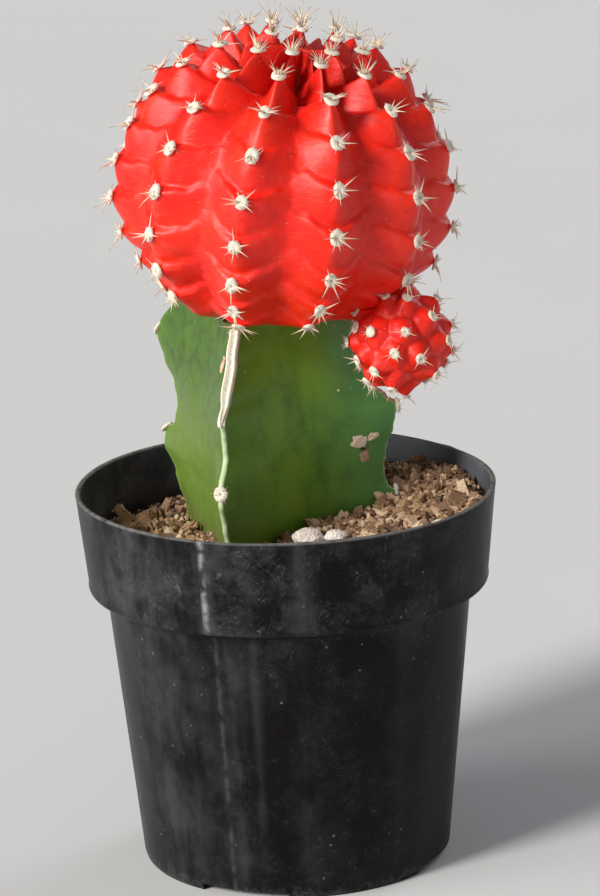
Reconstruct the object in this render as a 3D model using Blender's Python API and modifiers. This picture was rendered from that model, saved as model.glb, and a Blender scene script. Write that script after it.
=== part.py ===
"""Potted moon cactus: a red scion with one offset, grafted on a three-winged
green rootstock, planted in a bark mix in a small plastic nursery pot.

Metres, +Z up. The origin is on the pot's axis, on the surface it stands on.
The front of the plant, where one wing of the rootstock points, faces -Y.
Azimuths run from -Y towards +X.
"""
import math
import random

import bmesh
import bpy
from mathutils import Matrix, Vector
from mathutils import noise

MM = 0.001
GAP = 0.3 * MM                  # air between pieces that touch in the real thing
EPS = 0.01 * MM                 # merge distance

# Pot
POT_HEIGHT = 59.0 * MM
RIM_RADIUS = 32.5 * MM
COLLAR_FOOT_RADIUS = 30.9 * MM
COLLAR_FOOT_Z = 44.4 * MM
BODY_TOP_RADIUS = 28.1 * MM
BODY_TOP_Z = 42.8 * MM
BASE_RADIUS = 23.8 * MM
WALL = 0.8 * MM
FOOT_WIDTH = 1.3 * MM
FLOOR_UNDER_Z = 2.2 * MM
FLOOR_TOP_Z = 3.2 * MM
POT_STEPS = 60
NOTCH_COUNT = 4
NOTCH_AZIMUTH = -21.0
NOTCH_WIDTH = 14.0 * MM
NOTCH_HEIGHT = 1.15 * MM
HOLE_COUNT = 4
HOLE_RADIUS = 2.6 * MM
HOLE_RING_RADIUS = 13.0 * MM

# Potting mix
MIX_STEPS = 44
MIX_LEVEL = 52.4 * MM
MIX_SLOPE = 0.075               # the surface climbs towards +X
MIX_HEAP = (20.0 * MM, 15.0 * MM, 2.0 * MM, 9.0 * MM)       # x, y, height, spread
MIX_DIP = (-18.0 * MM, 17.0 * MM, -1.2 * MM, 10.0 * MM)
MIX_LUMP = 0.45 * MM
MIX_LUMP_SIZE = 4.5 * MM

# Rootstock: wing radii in mm from the rootstock's own axis, by height in mm
STOCK_X = -3.7 * MM
STOCK_FOOT_Z = 20.0 * MM
STOCK_TOP_Z = 86.3 * MM
STOCK_FACE_BOW = 1.6 * MM       # how far each face is hollowed between two wings
WING_HALF_WIDTH = 1.25 * MM
WING_AZIMUTHS = (-15.6, 104.4, 224.4)
WING_OUTLINES = (
    ((20, 12), (40, 18.5), (55, 19.8), (58, 21), (62, 22.7), (64.5, 22.3), (68.3, 19.2),
     (71, 19.7), (74.2, 20.7), (76.4, 18.4), (82.3, 14.4), (86.3, 12)),
    ((20, 12), (40, 19.5), (52.6, 21.4), (55.8, 21.4), (57, 20), (59.4, 19.6), (63, 20.1),
     (66.4, 21.3), (69.5, 21.9), (71.1, 20), (73.3, 17.5), (78.4, 14.6), (83.1, 12.2), (86.3, 11)),
    ((20, 12), (40, 16), (51.7, 16.8), (58, 19), (62, 21.3), (64.4, 20.8), (65.8, 18.7),
     (69.2, 18), (72.6, 18.6), (75.6, 20.5), (79.4, 22), (81.1, 21.3), (86.3, 17.5)),
)
STOCK_SEGMENTS = 36
STOCK_LEVELS = 18

# Scion
SCION_CENTRE = Vector((0.9, 0.0, 104.1)) * MM
SCION_RADIUS = 26.1 * MM        # at its widest
SCION_UP = 25.3 * MM            # centre to crown
SCION_DOWN = 22.0 * MM          # centre to the lowest point that it would have uncut
CROWN_FULLNESS = 2.24           # superellipse powers: 2 is round, less is conical
BASE_FULLNESS = 1.74
SCION_TILT_FORWARD = 9.9
SCION_TILT_RIGHT = 8.9
SCION_CUT_Z = STOCK_TOP_Z + GAP
SCION_SEGMENTS = 66
SCION_RINGS = 28
RIBS = 11
RIB_AZIMUTH = -15.1             # azimuth of rib 0, in the scion's own tilted frame
AREOLE_PITCH = 15.3             # degrees of latitude between areoles on one rib
AREOLE_TOP_LATITUDE = 79.5      # first areole of rib 0
AREOLE_STEP = 5                 # areoles shift by this many elevenths of a pitch a rib
FURROW_DEPTH = 2.1 * MM
CROWN_FURROW_DEPTH = 3.8 * MM
TUBERCLE_HEIGHT = 0.6 * MM
CROWN_TUBERCLE_HEIGHT = 1.2 * MM
CROWN_SINK = 2.2 * MM

# Offset
OFFSET_CENTRE = Vector((17.9, -10.0, 83.8)) * MM
OFFSET_RADIUS = 7.3 * MM
OFFSET_TALL = 1.08              # how much taller than wide it is
OFFSET_AXIS = Vector((0.45, -0.78, -0.44))
OFFSET_RIBS = 8
OFFSET_SEGMENTS = 40
OFFSET_RINGS = 14
OFFSET_FURROW = 0.9 * MM

# Loose pieces on the mix
SEED = 7
CHIP_COUNT = 22
CHIP_LENGTH = (3.2 * MM, 6.4 * MM)
CHIP_WIDTH = (1.8 * MM, 3.2 * MM)
CHIP_THICKNESS = (0.9 * MM, 1.7 * MM)
CHIP_BEVEL = 0.25 * MM
PEBBLE_RADII = (2.0 * MM, 1.45 * MM, 1.2 * MM, 1.0 * MM, 1.1 * MM)
PEBBLE_PLACES = ((3.2, -14.9), (7.3, -14.7), (1.0, -26.2), (23.0, -12.5), (-21.5, -7.0))


# ---------------------------------------------------------------- small helpers

def smooth(low, high, value):
    """0 below low, 1 above high, eased between."""
    t = min(1.0, max(0.0, (value - low) / (high - low)))
    return t * t * (3.0 - 2.0 * t)


def polar(radius, azimuth, z=0.0):
    """Point at a radius and an azimuth in degrees, from -Y towards +X."""
    angle = math.radians(azimuth)
    return Vector((radius * math.sin(angle), -radius * math.cos(angle), z))


def azimuth_of(x, y):
    return math.degrees(math.atan2(x, -y))


def interpolate(points, value):
    """Eased interpolation through a list of (position, value) pairs."""
    for (p0, v0), (p1, v1) in zip(points, points[1:]):
        if value <= p1:
            return v0 + (v1 - v0) * smooth(p0, p1, value)
    return points[-1][1]


def material(name, colour, roughness):
    mat = bpy.data.materials.new(name)
    mat.use_nodes = True
    shader = mat.node_tree.nodes["Principled BSDF"]
    shader.inputs["Base Color"].default_value = (*colour, 1.0)
    shader.inputs["Roughness"].default_value = roughness
    shader.inputs["Metallic"].default_value = 0.0
    mat.diffuse_color = (*colour, 1.0)
    return mat


def add_object(name, mesh, collection, mat=None):
    obj = bpy.data.objects.new(name, mesh)
    collection.objects.link(obj)
    if mat:
        mesh.materials.clear()
        mesh.materials.append(mat)
    return obj


def add_bmesh(name, bm, collection, mat=None, sharp_angle=35.0):
    bmesh.ops.recalc_face_normals(bm, faces=bm.faces)
    mesh = bpy.data.meshes.new(name)
    bm.to_mesh(mesh)
    bm.free()
    mesh.shade_smooth()
    mesh.set_sharp_from_angle(angle=math.radians(sharp_angle))
    return add_object(name, mesh, collection, mat)


def turned(name, profile, steps, collection, mat=None):
    """A profile of (radius, z) pairs turned about Z with a Screw modifier."""
    mesh = bpy.data.meshes.new(name)
    edges = [(i, i + 1) for i in range(len(profile) - 1)]
    mesh.from_pydata([(r, 0.0, z) for r, z in profile], edges, [])
    obj = add_object(name, mesh, collection, mat)
    screw = obj.modifiers.new("Turn", "SCREW")
    screw.steps = steps
    screw.render_steps = steps
    screw.use_merge_vertices = True
    screw.merge_threshold = EPS
    screw.use_smooth_shade = False
    return obj


def made_mesh(obj):
    """The mesh of an object with its modifiers applied; the object is removed."""
    graph = bpy.context.evaluated_depsgraph_get()
    mesh = bpy.data.meshes.new_from_object(obj.evaluated_get(graph), depsgraph=graph)
    bpy.data.objects.remove(obj)
    return mesh


def cutter(name, bm, collection):
    obj = add_bmesh(name, bm, collection)
    obj.hide_render = True
    obj.display_type = "WIRE"
    return obj


def cut(obj, tool):
    boolean = obj.modifiers.new("Cut " + tool.name, "BOOLEAN")
    boolean.operation = "DIFFERENCE"
    boolean.solver = "EXACT"
    boolean.object = tool


# ---------------------------------------------------------------- pot

def body_radius(z):
    """Outer radius of the pot's tapered body."""
    return BASE_RADIUS + (BODY_TOP_RADIUS - BASE_RADIUS) * z / BODY_TOP_Z


def collar_radius(z):
    """Outer radius of the collar."""
    t = (z - COLLAR_FOOT_Z) / (POT_HEIGHT - COLLAR_FOOT_Z)
    return COLLAR_FOOT_RADIUS + (RIM_RADIUS - COLLAR_FOOT_RADIUS) * t


def pot_inner_radius(z):
    outer = collar_radius(z) if z > COLLAR_FOOT_Z + WALL else body_radius(min(z, BODY_TOP_Z))
    return outer - WALL


def pot_profile():
    """Closed profile: inside from the floor up, over the rim, down the outside."""
    rim_round = 0.25 * MM
    corner = 0.5 * MM
    inside = [
        (0.0, FLOOR_TOP_Z),
        (body_radius(FLOOR_TOP_Z) - WALL - corner, FLOOR_TOP_Z),
        (body_radius(FLOOR_TOP_Z) - WALL, FLOOR_TOP_Z + corner),
        (body_radius(BODY_TOP_Z) - WALL, BODY_TOP_Z + 0.2 * MM),
        (collar_radius(COLLAR_FOOT_Z) - WALL - corner, COLLAR_FOOT_Z + 0.4 * MM),
        (collar_radius(COLLAR_FOOT_Z) - WALL, COLLAR_FOOT_Z + 0.9 * MM),
        (RIM_RADIUS - WALL, POT_HEIGHT - rim_round),
    ]
    outside = [
        (RIM_RADIUS - WALL + rim_round, POT_HEIGHT),
        (RIM_RADIUS - rim_round, POT_HEIGHT),
        (RIM_RADIUS, POT_HEIGHT - rim_round),
        (collar_radius(COLLAR_FOOT_Z + corner), COLLAR_FOOT_Z + corner),
        (collar_radius(COLLAR_FOOT_Z) - 0.3 * MM, COLLAR_FOOT_Z - 0.2 * MM),
        (BODY_TOP_RADIUS + 0.4 * MM, BODY_TOP_Z),
        (body_radius(BODY_TOP_Z - corner), BODY_TOP_Z - corner),
        (body_radius(0.6 * MM), 0.6 * MM),
        (BASE_RADIUS - 0.4 * MM, 0.0),
    ]
    under = [
        (BASE_RADIUS - 0.4 * MM - FOOT_WIDTH, 0.0),
        (BASE_RADIUS - 0.2 * MM - FOOT_WIDTH, FLOOR_UNDER_Z),
        (0.0, FLOOR_UNDER_Z),
    ]
    return inside + outside + under


def build_pot(parts, cutters):
    mat = material("black_plastic", (0.012, 0.013, 0.015), 0.35)
    pot = turned("pot", pot_profile(), POT_STEPS, parts, mat)
    bm = bmesh.new()
    for i in range(NOTCH_COUNT):
        azimuth = NOTCH_AZIMUTH + 360.0 * i / NOTCH_COUNT
        turn = Matrix.Rotation(math.radians(azimuth), 4, "Z")
        size = Matrix.Diagonal((NOTCH_WIDTH, 6.0 * MM, 2.0 * NOTCH_HEIGHT, 1.0))
        place = Matrix.Translation(polar(BASE_RADIUS - 1.0 * MM, azimuth))
        bmesh.ops.create_cube(bm, size=1.0, matrix=place @ turn @ size)
    cut(pot, cutter("notch_cutter", bm, cutters))
    bm = bmesh.new()
    for i in range(HOLE_COUNT):
        azimuth = NOTCH_AZIMUTH + 360.0 * (i + 0.5) / HOLE_COUNT
        place = Matrix.Translation(polar(HOLE_RING_RADIUS, azimuth, FLOOR_UNDER_Z))
        bmesh.ops.create_cone(bm, cap_ends=True, segments=20, radius1=HOLE_RADIUS,
                              radius2=HOLE_RADIUS, depth=8.0 * MM, matrix=place)
    cut(pot, cutter("drain_cutter", bm, cutters))


# ---------------------------------------------------------------- rootstock

def wing_radius(wing, z):
    return interpolate(WING_OUTLINES[wing], z / MM) * MM


def stock_point(angle, z, grow=0.0):
    """Point of the rootstock's skin; angle in degrees goes round from the first wing."""
    wing = int(angle // 120.0) % 3
    along = (angle % 120.0) / 120.0
    ends = []
    for index, side in ((wing, 1.0), ((wing + 1) % 3, -1.0)):
        azimuth = WING_AZIMUTHS[index]
        tip = polar(wing_radius(index, z) + grow, azimuth)
        across = polar(1.0, azimuth + 90.0) * side
        ends.append((tip, across))
    (tip_a, across_a), (tip_b, across_b) = ends
    half = WING_HALF_WIDTH + grow
    shoulder_a = tip_a * (1.0 - half / tip_a.length) + across_a * half
    shoulder_b = tip_b * (1.0 - half / tip_b.length) + across_b * half
    round_part = 0.07
    if along < round_part:
        point = tip_a.lerp(shoulder_a, along / round_part)
    elif along > 1.0 - round_part:
        point = tip_b.lerp(shoulder_b, (1.0 - along) / round_part)
    else:
        t = (along - round_part) / (1.0 - 2.0 * round_part)
        point = shoulder_a.lerp(shoulder_b, t)
        bow = (STOCK_FACE_BOW - grow) * math.sin(math.pi * t) * smooth(15 * MM, 45 * MM, z)
        point = point * (1.0 - bow / point.length)
    return Vector((point.x + STOCK_X, point.y, z))


def stock_bmesh(grow=0.0):
    """A cylinder with rings of vertices, each moved to the winged outline."""
    foot = STOCK_FOOT_Z - grow
    top = STOCK_TOP_Z + grow
    bm = bmesh.new()
    place = Matrix.Translation((0.0, 0.0, (foot + top) / 2.0))
    bmesh.ops.create_cone(bm, cap_ends=True, segments=STOCK_SEGMENTS, radius1=MM,
                          radius2=MM, depth=top - foot, matrix=place)
    uprights = [e for e in bm.edges if abs(e.verts[0].co.z - e.verts[1].co.z) > MM]
    bmesh.ops.subdivide_edges(bm, edges=uprights, cuts=STOCK_LEVELS)
    for vert in bm.verts:
        angle = (azimuth_of(vert.co.x, vert.co.y) + 360.0) % 360.0
        vert.co = stock_point(angle, vert.co.z, grow)
    return bm


def build_stock(parts):
    mat = material("green_stem", (0.08, 0.17, 0.03), 0.45)
    add_bmesh("rootstock", stock_bmesh(), parts, mat)


# ---------------------------------------------------------------- potting mix

def mix_height(x, y):
    """Height of the mix's surface, with its slope, heap, dip and lumps."""
    z = MIX_LEVEL + MIX_SLOPE * x
    for px, py, height, spread in (MIX_HEAP, MIX_DIP):
        z += height * math.exp(-((x - px) ** 2 + (y - py) ** 2) / (2.0 * spread ** 2))
    z += MIX_LUMP * noise.noise(Vector((x, y, 0.0)) / MIX_LUMP_SIZE)
    return z


def build_mix(parts, cutters):
    """The mix fills the pot from its floor, with a pocket for the rootstock."""
    edge = collar_radius(MIX_LEVEL) - WALL - GAP
    collar_z = COLLAR_FOOT_Z + 1.2 * MM
    rings = 7
    profile = [(edge * i / rings, MIX_LEVEL) for i in range(rings + 1)]
    profile += [
        (collar_radius(collar_z) - WALL - GAP, collar_z),
        (body_radius(BODY_TOP_Z) - WALL - GAP, BODY_TOP_Z),
        (body_radius(FLOOR_TOP_Z) - WALL - GAP - 0.4 * MM, FLOOR_TOP_Z + GAP),
        (0.0, FLOOR_TOP_Z + GAP),
    ]
    mesh = made_mesh(turned("mix_blank", profile, MIX_STEPS, cutters))
    for vert in mesh.vertices:
        if vert.co.z > MIX_LEVEL - MM:
            vert.co.z = mix_height(vert.co.x, vert.co.y)
            fit = (collar_radius(vert.co.z) - collar_radius(MIX_LEVEL)) / edge
            vert.co.x *= 1.0 + fit
            vert.co.y *= 1.0 + fit
    mesh.name = "potting_mix"
    mix = add_object("potting_mix", mesh, parts, material("bark_mix", (0.17, 0.10, 0.06), 0.9))
    cut(mix, cutter("stock_cutter", stock_bmesh(GAP), cutters))


# ---------------------------------------------------------------- scion and offset

def scion_rib(azimuth):
    """Nearest rib and how far off it the azimuth is: 0 on the rib, 1 in the furrow."""
    turn = (azimuth - RIB_AZIMUTH) / (360.0 / RIBS)
    nearest = round(turn)
    return nearest % RIBS, abs(turn - nearest) * 2.0


def scion_outline(latitude):
    """Distance of a rib's crest from the centre: a fuller crown over a conical base."""
    up = latitude > 0.0
    power = CROWN_FULLNESS if up else BASE_FULLNESS
    wide = abs(math.cos(math.radians(latitude))) / SCION_RADIUS
    high = abs(math.sin(math.radians(latitude))) / (SCION_UP if up else SCION_DOWN)
    return (wide ** power + high ** power) ** (-1.0 / power)


def scion_radius(latitude, azimuth):
    """Distance of the scion's skin from its centre, in its own frame."""
    rib, off = scion_rib(azimuth)
    ridge = 0.6 * (0.5 + 0.5 * math.cos(math.pi * off)) + 0.4 * (1.0 - off)
    crown = smooth(35.0, 70.0, latitude)
    pole = 1.0 - smooth(76.0, 90.0, latitude)
    furrow = FURROW_DEPTH + (CROWN_FURROW_DEPTH - FURROW_DEPTH) * crown
    bump = TUBERCLE_HEIGHT + (CROWN_TUBERCLE_HEIGHT - TUBERCLE_HEIGHT) * crown
    shift = (AREOLE_STEP * rib % RIBS) / RIBS
    phase = (AREOLE_TOP_LATITUDE - latitude) / AREOLE_PITCH - shift
    wave = 0.5 - 0.5 * math.cos(2.0 * math.pi * phase)
    radius = scion_outline(latitude) - furrow * (1.0 - ridge) * pole - bump * ridge * wave * pole
    return radius - CROWN_SINK * smooth(66.0, 90.0, latitude)


def scion_matrix():
    lean = Matrix.Rotation(math.radians(SCION_TILT_RIGHT), 4, "Y")
    nod = Matrix.Rotation(math.radians(SCION_TILT_FORWARD), 4, "X")
    return Matrix.Translation(SCION_CENTRE) @ lean @ nod


def scion_bmesh(grow=0.0):
    bm = bmesh.new()
    bmesh.ops.create_uvsphere(bm, u_segments=SCION_SEGMENTS, v_segments=SCION_RINGS,
                              radius=SCION_RADIUS)
    start = Matrix.Rotation(math.radians(RIB_AZIMUTH), 4, "Z")
    bmesh.ops.transform(bm, matrix=start, verts=bm.verts)
    for vert in bm.verts:
        latitude = math.degrees(math.asin(max(-1.0, min(1.0, vert.co.z / SCION_RADIUS))))
        radius = scion_radius(latitude, azimuth_of(vert.co.x, vert.co.y)) + grow
        vert.co = vert.co.normalized() * radius
    bmesh.ops.transform(bm, matrix=scion_matrix(), verts=bm.verts)
    whole = list(bm.verts) + list(bm.edges) + list(bm.faces)
    sliced = bmesh.ops.bisect_plane(bm, geom=whole, plane_co=(0.0, 0.0, SCION_CUT_Z - grow),
                                    plane_no=(0.0, 0.0, -1.0), clear_outer=True)
    rim = [e for e in sliced["geom_cut"] if isinstance(e, bmesh.types.BMEdge)]
    bmesh.ops.edgenet_fill(bm, edges=rim)
    return bm


def build_scion(parts):
    mat = material("red_flesh", (0.75, 0.03, 0.015), 0.35)
    add_bmesh("scion", scion_bmesh(), parts, mat)


def build_offset(parts, cutters):
    """A small ribbed globe, seated against the scion's underside."""
    bm = bmesh.new()
    bmesh.ops.create_uvsphere(bm, u_segments=OFFSET_SEGMENTS, v_segments=OFFSET_RINGS,
                              radius=OFFSET_RADIUS)
    for vert in bm.verts:
        latitude = math.degrees(math.asin(max(-1.0, min(1.0, vert.co.z / OFFSET_RADIUS))))
        azimuth = math.atan2(vert.co.x, -vert.co.y)
        ridge = 0.5 + 0.5 * math.cos(OFFSET_RIBS * azimuth)
        pole = 1.0 - smooth(60.0, 90.0, abs(latitude))
        vert.co *= 1.0 - OFFSET_FURROW / OFFSET_RADIUS * (1.0 - ridge) * pole
    turn = OFFSET_AXIS.to_track_quat("Z", "Y").to_matrix().to_4x4()
    tall = Matrix.Diagonal((1.0, 1.0, OFFSET_TALL, 1.0))
    place = Matrix.Translation(OFFSET_CENTRE)
    bmesh.ops.transform(bm, matrix=place @ tall @ turn, verts=bm.verts)
    mat = material("red_offset_flesh", (0.7, 0.04, 0.03), 0.35)
    offset = add_bmesh("scion_offset", bm, parts, mat)
    cut(offset, cutter("scion_cutter", scion_bmesh(GAP), cutters))


# ---------------------------------------------------------------- bark and pebbles

def clear_of_stock(x, y, reach):
    """True where a loose piece of this reach misses the rootstock at the mix's surface."""
    outline = [stock_point(a * 7.5, MIX_LEVEL) for a in range(48)]
    here = Vector((x, y, MIX_LEVEL))
    nearest = min(outline, key=lambda p: (p - here).length)
    axis = Vector((STOCK_X, 0.0, MIX_LEVEL))
    outside = (here - axis).length > (nearest - axis).length
    return outside and (nearest - here).length > reach


def resting_z(x, y, reach):
    """Lowest height at which a flat piece of this reach clears the mix."""
    highest = max(mix_height(x + reach * i / 3.0, y + reach * j / 3.0)
                  for i in range(-3, 4) for j in range(-3, 4))
    return highest + GAP + 0.1 * MM


def build_pebbles(parts):
    """Pale pumice pebbles. Returns their places, for the bark to keep clear of."""
    rng = random.Random(SEED)
    mat = material("pale_pumice", (0.72, 0.68, 0.62), 0.8)
    taken = []
    for i, (radius, place) in enumerate(zip(PEBBLE_RADII, PEBBLE_PLACES)):
        x, y = place[0] * MM, place[1] * MM
        bm = bmesh.new()
        bmesh.ops.create_icosphere(bm, subdivisions=2, radius=radius)
        for vert in bm.verts:
            vert.co *= 1.0 + 0.12 * noise.noise(vert.co / radius + Vector((i * 3.1, 0.0, 0.0)))
            vert.co.z *= 0.75
        turn = Matrix.Rotation(rng.uniform(0.0, math.pi), 4, "Z")
        z = resting_z(x, y, radius) + 0.75 * 1.12 * radius
        bmesh.ops.transform(bm, matrix=Matrix.Translation((x, y, z)) @ turn, verts=bm.verts)
        add_bmesh(f"pumice_pebble_{i + 1:02d}", bm, parts, mat)
        taken.append((x, y, 1.15 * radius))
    return taken


def chip_bmesh(length, width, thickness, turn):
    """A splinter of bark: a bevelled block, narrower at one end."""
    bm = bmesh.new()
    size = Matrix.Diagonal((length, width, thickness, 1.0))
    bmesh.ops.create_cube(bm, size=1.0, matrix=size)
    for vert in bm.verts:
        if vert.co.x > 0.0:
            vert.co.y *= 0.62
    bmesh.ops.bevel(bm, geom=list(bm.edges), offset=CHIP_BEVEL, segments=1, affect="EDGES")
    bmesh.ops.transform(bm, matrix=Matrix.Rotation(turn, 4, "Z"), verts=bm.verts)
    return bm


def build_chips(parts, taken):
    """Bark chips scattered over the mix, none touching another."""
    rng = random.Random(SEED + 1)
    mats = [material("bark_brown", (0.20, 0.11, 0.06), 0.9),
            material("bark_tan", (0.36, 0.24, 0.14), 0.9)]
    made = 0
    while made < CHIP_COUNT:
        length = rng.uniform(*CHIP_LENGTH)
        width = rng.uniform(*CHIP_WIDTH)
        thickness = rng.uniform(*CHIP_THICKNESS)
        reach = math.hypot(length, width) / 2.0
        azimuth = rng.uniform(0.0, 360.0)
        ring = math.sqrt(rng.uniform(0.1, 1.0)) * (pot_inner_radius(MIX_LEVEL) - reach - 2.0 * GAP)
        place = polar(ring, azimuth)
        apart = all(math.hypot(place.x - x, place.y - y) > reach + r + GAP for x, y, r in taken)
        if not apart or not clear_of_stock(place.x, place.y, reach + GAP):
            continue
        bm = chip_bmesh(length, width, thickness, rng.uniform(0.0, math.pi))
        z = resting_z(place.x, place.y, reach) + thickness / 2.0
        bmesh.ops.translate(bm, vec=(place.x, place.y, z), verts=bm.verts)
        made += 1
        add_bmesh(f"bark_chip_{made:02d}", bm, parts, mats[made % 2], 20.0)
        taken.append((place.x, place.y, reach))


# ---------------------------------------------------------------- assembly

def new_collection(name):
    collection = bpy.data.collections.new(name)
    bpy.context.scene.collection.children.link(collection)
    return collection


def main():
    for obj in list(bpy.data.objects):
        bpy.data.objects.remove(obj)
    parts = new_collection("potted_moon_cactus")
    cutters = new_collection("cutters")
    build_pot(parts, cutters)
    build_mix(parts, cutters)
    build_stock(parts)
    build_scion(parts)
    build_offset(parts, cutters)
    build_chips(parts, build_pebbles(parts))


main()
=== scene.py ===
"""Potted moon cactus: the looks.

Run as a script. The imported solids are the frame, and this file makes the fine
surfaces that stand on them: the moulded pot, the bark, the winged stem with its
cork, the ribbed red globes, and their wool and spines.

Metres, +Z up, the pot's axis at x = y = 0. The front is -Y, azimuths run from
-Y towards +X, and lengths written with MM are millimetres.
"""

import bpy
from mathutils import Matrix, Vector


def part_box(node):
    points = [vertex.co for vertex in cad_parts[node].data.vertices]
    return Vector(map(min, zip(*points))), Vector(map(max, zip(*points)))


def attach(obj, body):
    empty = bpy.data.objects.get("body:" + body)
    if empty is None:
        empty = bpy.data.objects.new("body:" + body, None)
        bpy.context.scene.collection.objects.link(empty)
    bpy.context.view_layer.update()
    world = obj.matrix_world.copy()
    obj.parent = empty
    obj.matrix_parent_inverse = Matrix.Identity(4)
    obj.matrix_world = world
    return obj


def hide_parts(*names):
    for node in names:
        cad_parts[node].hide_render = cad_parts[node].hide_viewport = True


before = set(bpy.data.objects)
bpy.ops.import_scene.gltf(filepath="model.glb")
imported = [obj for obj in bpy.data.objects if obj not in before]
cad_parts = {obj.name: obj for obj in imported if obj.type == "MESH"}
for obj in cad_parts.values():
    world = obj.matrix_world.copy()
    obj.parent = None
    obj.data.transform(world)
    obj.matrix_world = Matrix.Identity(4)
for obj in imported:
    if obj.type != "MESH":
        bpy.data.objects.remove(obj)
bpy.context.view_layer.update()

import math
import random

import bmesh
import bpy
import numpy as np
from bpy.props import FloatProperty, FloatVectorProperty, IntProperty, PointerProperty
from mathutils import Matrix, Vector, noise

bl_info = {
    "name": "Potted moon cactus",
    "version": (1, 0, 0),
    "blender": (4, 5, 0),
    "location": "View3D > Sidebar > Moon cactus",
    "description": "Makes a grafted moon cactus in its nursery pot, piece by piece",
    "category": "Add Mesh",
}

MM = 0.001
BODY = "root"
CHIP_NODES = [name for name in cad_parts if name.startswith("bark_chip")]
PEBBLE_NODES = [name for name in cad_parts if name.startswith("pumice_pebble")]


def solid_box(node):
    """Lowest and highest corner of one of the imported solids."""
    return [Vector(corner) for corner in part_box(node)]


# Pot
RIM_RADIUS = solid_box("pot")[1].x
RIM_Z = solid_box("pot")[1].z
COLLAR_FOOT_RADIUS = 30.9 * MM
COLLAR_FOOT_Z = 44.4 * MM
BODY_TOP_RADIUS = 28.1 * MM
BODY_TOP_Z = 42.8 * MM
BASE_RADIUS = 23.8 * MM
WALL = 0.8 * MM
FOOT_WIDTH = 1.3 * MM           # of the ring that the pot stands on
FLOOR_UNDER_Z = 2.2 * MM
FLOOR_TOP_Z = 3.2 * MM
NOTCH_COUNT = 4                 # and as many drain holes between them
NOTCH_AZIMUTH = -21.0
NOTCH_WIDTH = 14.0 * MM
NOTCH_HEIGHT = 1.15 * MM
HOLE_RADIUS = 2.6 * MM
HOLE_RING_RADIUS = 13.0 * MM
PARTING_AZIMUTH = -23.5         # the mould's parting line, and again behind
# Pale marks that are painted highlights, those on the parting line partly wear. Azimuth, half width
# in degrees, strength on the collar and on the body
SEAM_WEAR_AND_HIGHLIGHT_MARKS = ((PARTING_AZIMUTH, 1.1, 1.0, 0.12), (PARTING_AZIMUTH + 180.0, 1.1, 0.7, 0.12))
HIGHLIGHT_STREAK_MARKS = (
    (PARTING_AZIMUTH, 7.0, 0.6, 0.3), (3.5, 5.5, 0.85, 0.25), (-19.0, 6.0, 0.3, 0.8),
    (-12.0, 2.5, 0.1, 0.6), (-50.0, 30.0, 1.0, 0.75), (38.0, 6.0, 0.25, 0.2),
    (80.0, 7.0, 0.5, 0.3), (121.0, 6.0, 0.4, 0.6), (160.0, 8.0, 0.6, 0.4),
    (205.0, 6.0, 0.4, 0.6), (251.0, 7.0, 0.6, 0.4), (285.0, 5.0, 0.3, 0.6),
)

# Mix
MIX_LEVEL = 52.4 * MM
MIX_SLOPE = 0.075               # it rises towards +X
# Place in x and y, height and spread
MIX_HEAP = (20.0 * MM, 15.0 * MM, 2.0 * MM, 9.0 * MM)
MIX_DIP = (-18.0 * MM, 17.0 * MM, -1.2 * MM, 10.0 * MM)

# Stem
STEM_X = -3.7 * MM              # its axis
STEM_FOOT_Z, STEM_TOP_Z = (corner.z for corner in solid_box("rootstock"))
FACE_BOW = 1.6 * MM             # how far the faces are hollow
WING_TIP = 0.50 * MM            # half width of a wing's crest
SHAVED_TIP = 0.95 * MM          # and where the crest was shaved off
SHAVED_FROM = (74.5 * MM, 70.5 * MM, 1.0)  # height for each wing; the last one isn't shaved
WING_AZIMUTHS = (-15.6, 104.4, 224.4)
# Height in mm and the crest's distance from the stem's axis there in mm, for each wing
WING_OUTLINES = (
    ((20, 12), (40, 18.5), (55, 19.8), (58, 21), (62, 22.7), (64.5, 22.3), (68.3, 19.2),
     (71, 19.7), (74.2, 20.7), (76.4, 18.4), (82.3, 14.4), (86.3, 12)),
    ((20, 12), (40, 19.5), (52.6, 21.4), (55.8, 21.4), (57, 20), (59.4, 19.6), (63, 20.1),
     (66.4, 21.3), (69.5, 21.9), (71.1, 20), (73.3, 17.5), (78.4, 15.3), (83.1, 15.3), (86.3, 15.6)),
    ((20, 12), (40, 16), (51.7, 16.8), (58, 19), (62, 21.3), (64.4, 20.8), (65.8, 18.7),
     (69.2, 18), (72.6, 18.6), (75.6, 20.5), (79.4, 22), (81.1, 21.3), (86.3, 17.5)),
)
# Wing and height in mm of the areoles left on the crests
STEM_AREOLES = ((0, 63.7), (2, 80.4), (2, 64.6), (1, 69.4), (1, 55.6))
# Faces round from the front wing, then height, width and length in mm, start of the ragged
# edge, and tint from dark to pale
SCABS = (
    (0.785, 65.1, 2.6, 2.0, 1.0, 0.9), (0.842, 65.3, 2.0, 1.1, 5.0, 0.7),
    (0.825, 62.4, 1.9, 1.8, 9.0, 0.35), (0.812, 63.9, 1.0, 0.9, 13.0, 0.0),
    (0.740, 73.7, 0.4, 0.4, 17.0, 0.8), (-0.135, 81.0, 1.5, 3.2, 21.0, 0.45),
    (-0.138, 81.2, 0.7, 1.7, 25.0, 0.0), (1.42, 72.0, 2.2, 1.6, 31.0, 0.6),
    (1.70, 62.0, 1.4, 2.2, 37.0, 0.3),
)

# Globe, in its own tilted frame
GLOBE_CENTRE = Vector((0.9, 0.0, 104.1)) * MM
GLOBE_RADIUS = 26.1 * MM
GLOBE_UP = 25.3 * MM
GLOBE_DOWN = 22.0 * MM
CROWN_FULLNESS = 2.24           # 2 is an ellipse, and more is squarer
BASE_FULLNESS = 1.74
TILT_FORWARD = 9.9
TILT_RIGHT = 8.9
CUT_Z = solid_box("scion")[0].z  # the flat underside
RIBS = 11
RIB_AZIMUTH = -15.1             # azimuth of rib 0
RIB_STEP = 360.0 / RIBS
LIP_HEIGHT = 1.2 * MM           # areoles that would sit lower move to the lip
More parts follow.
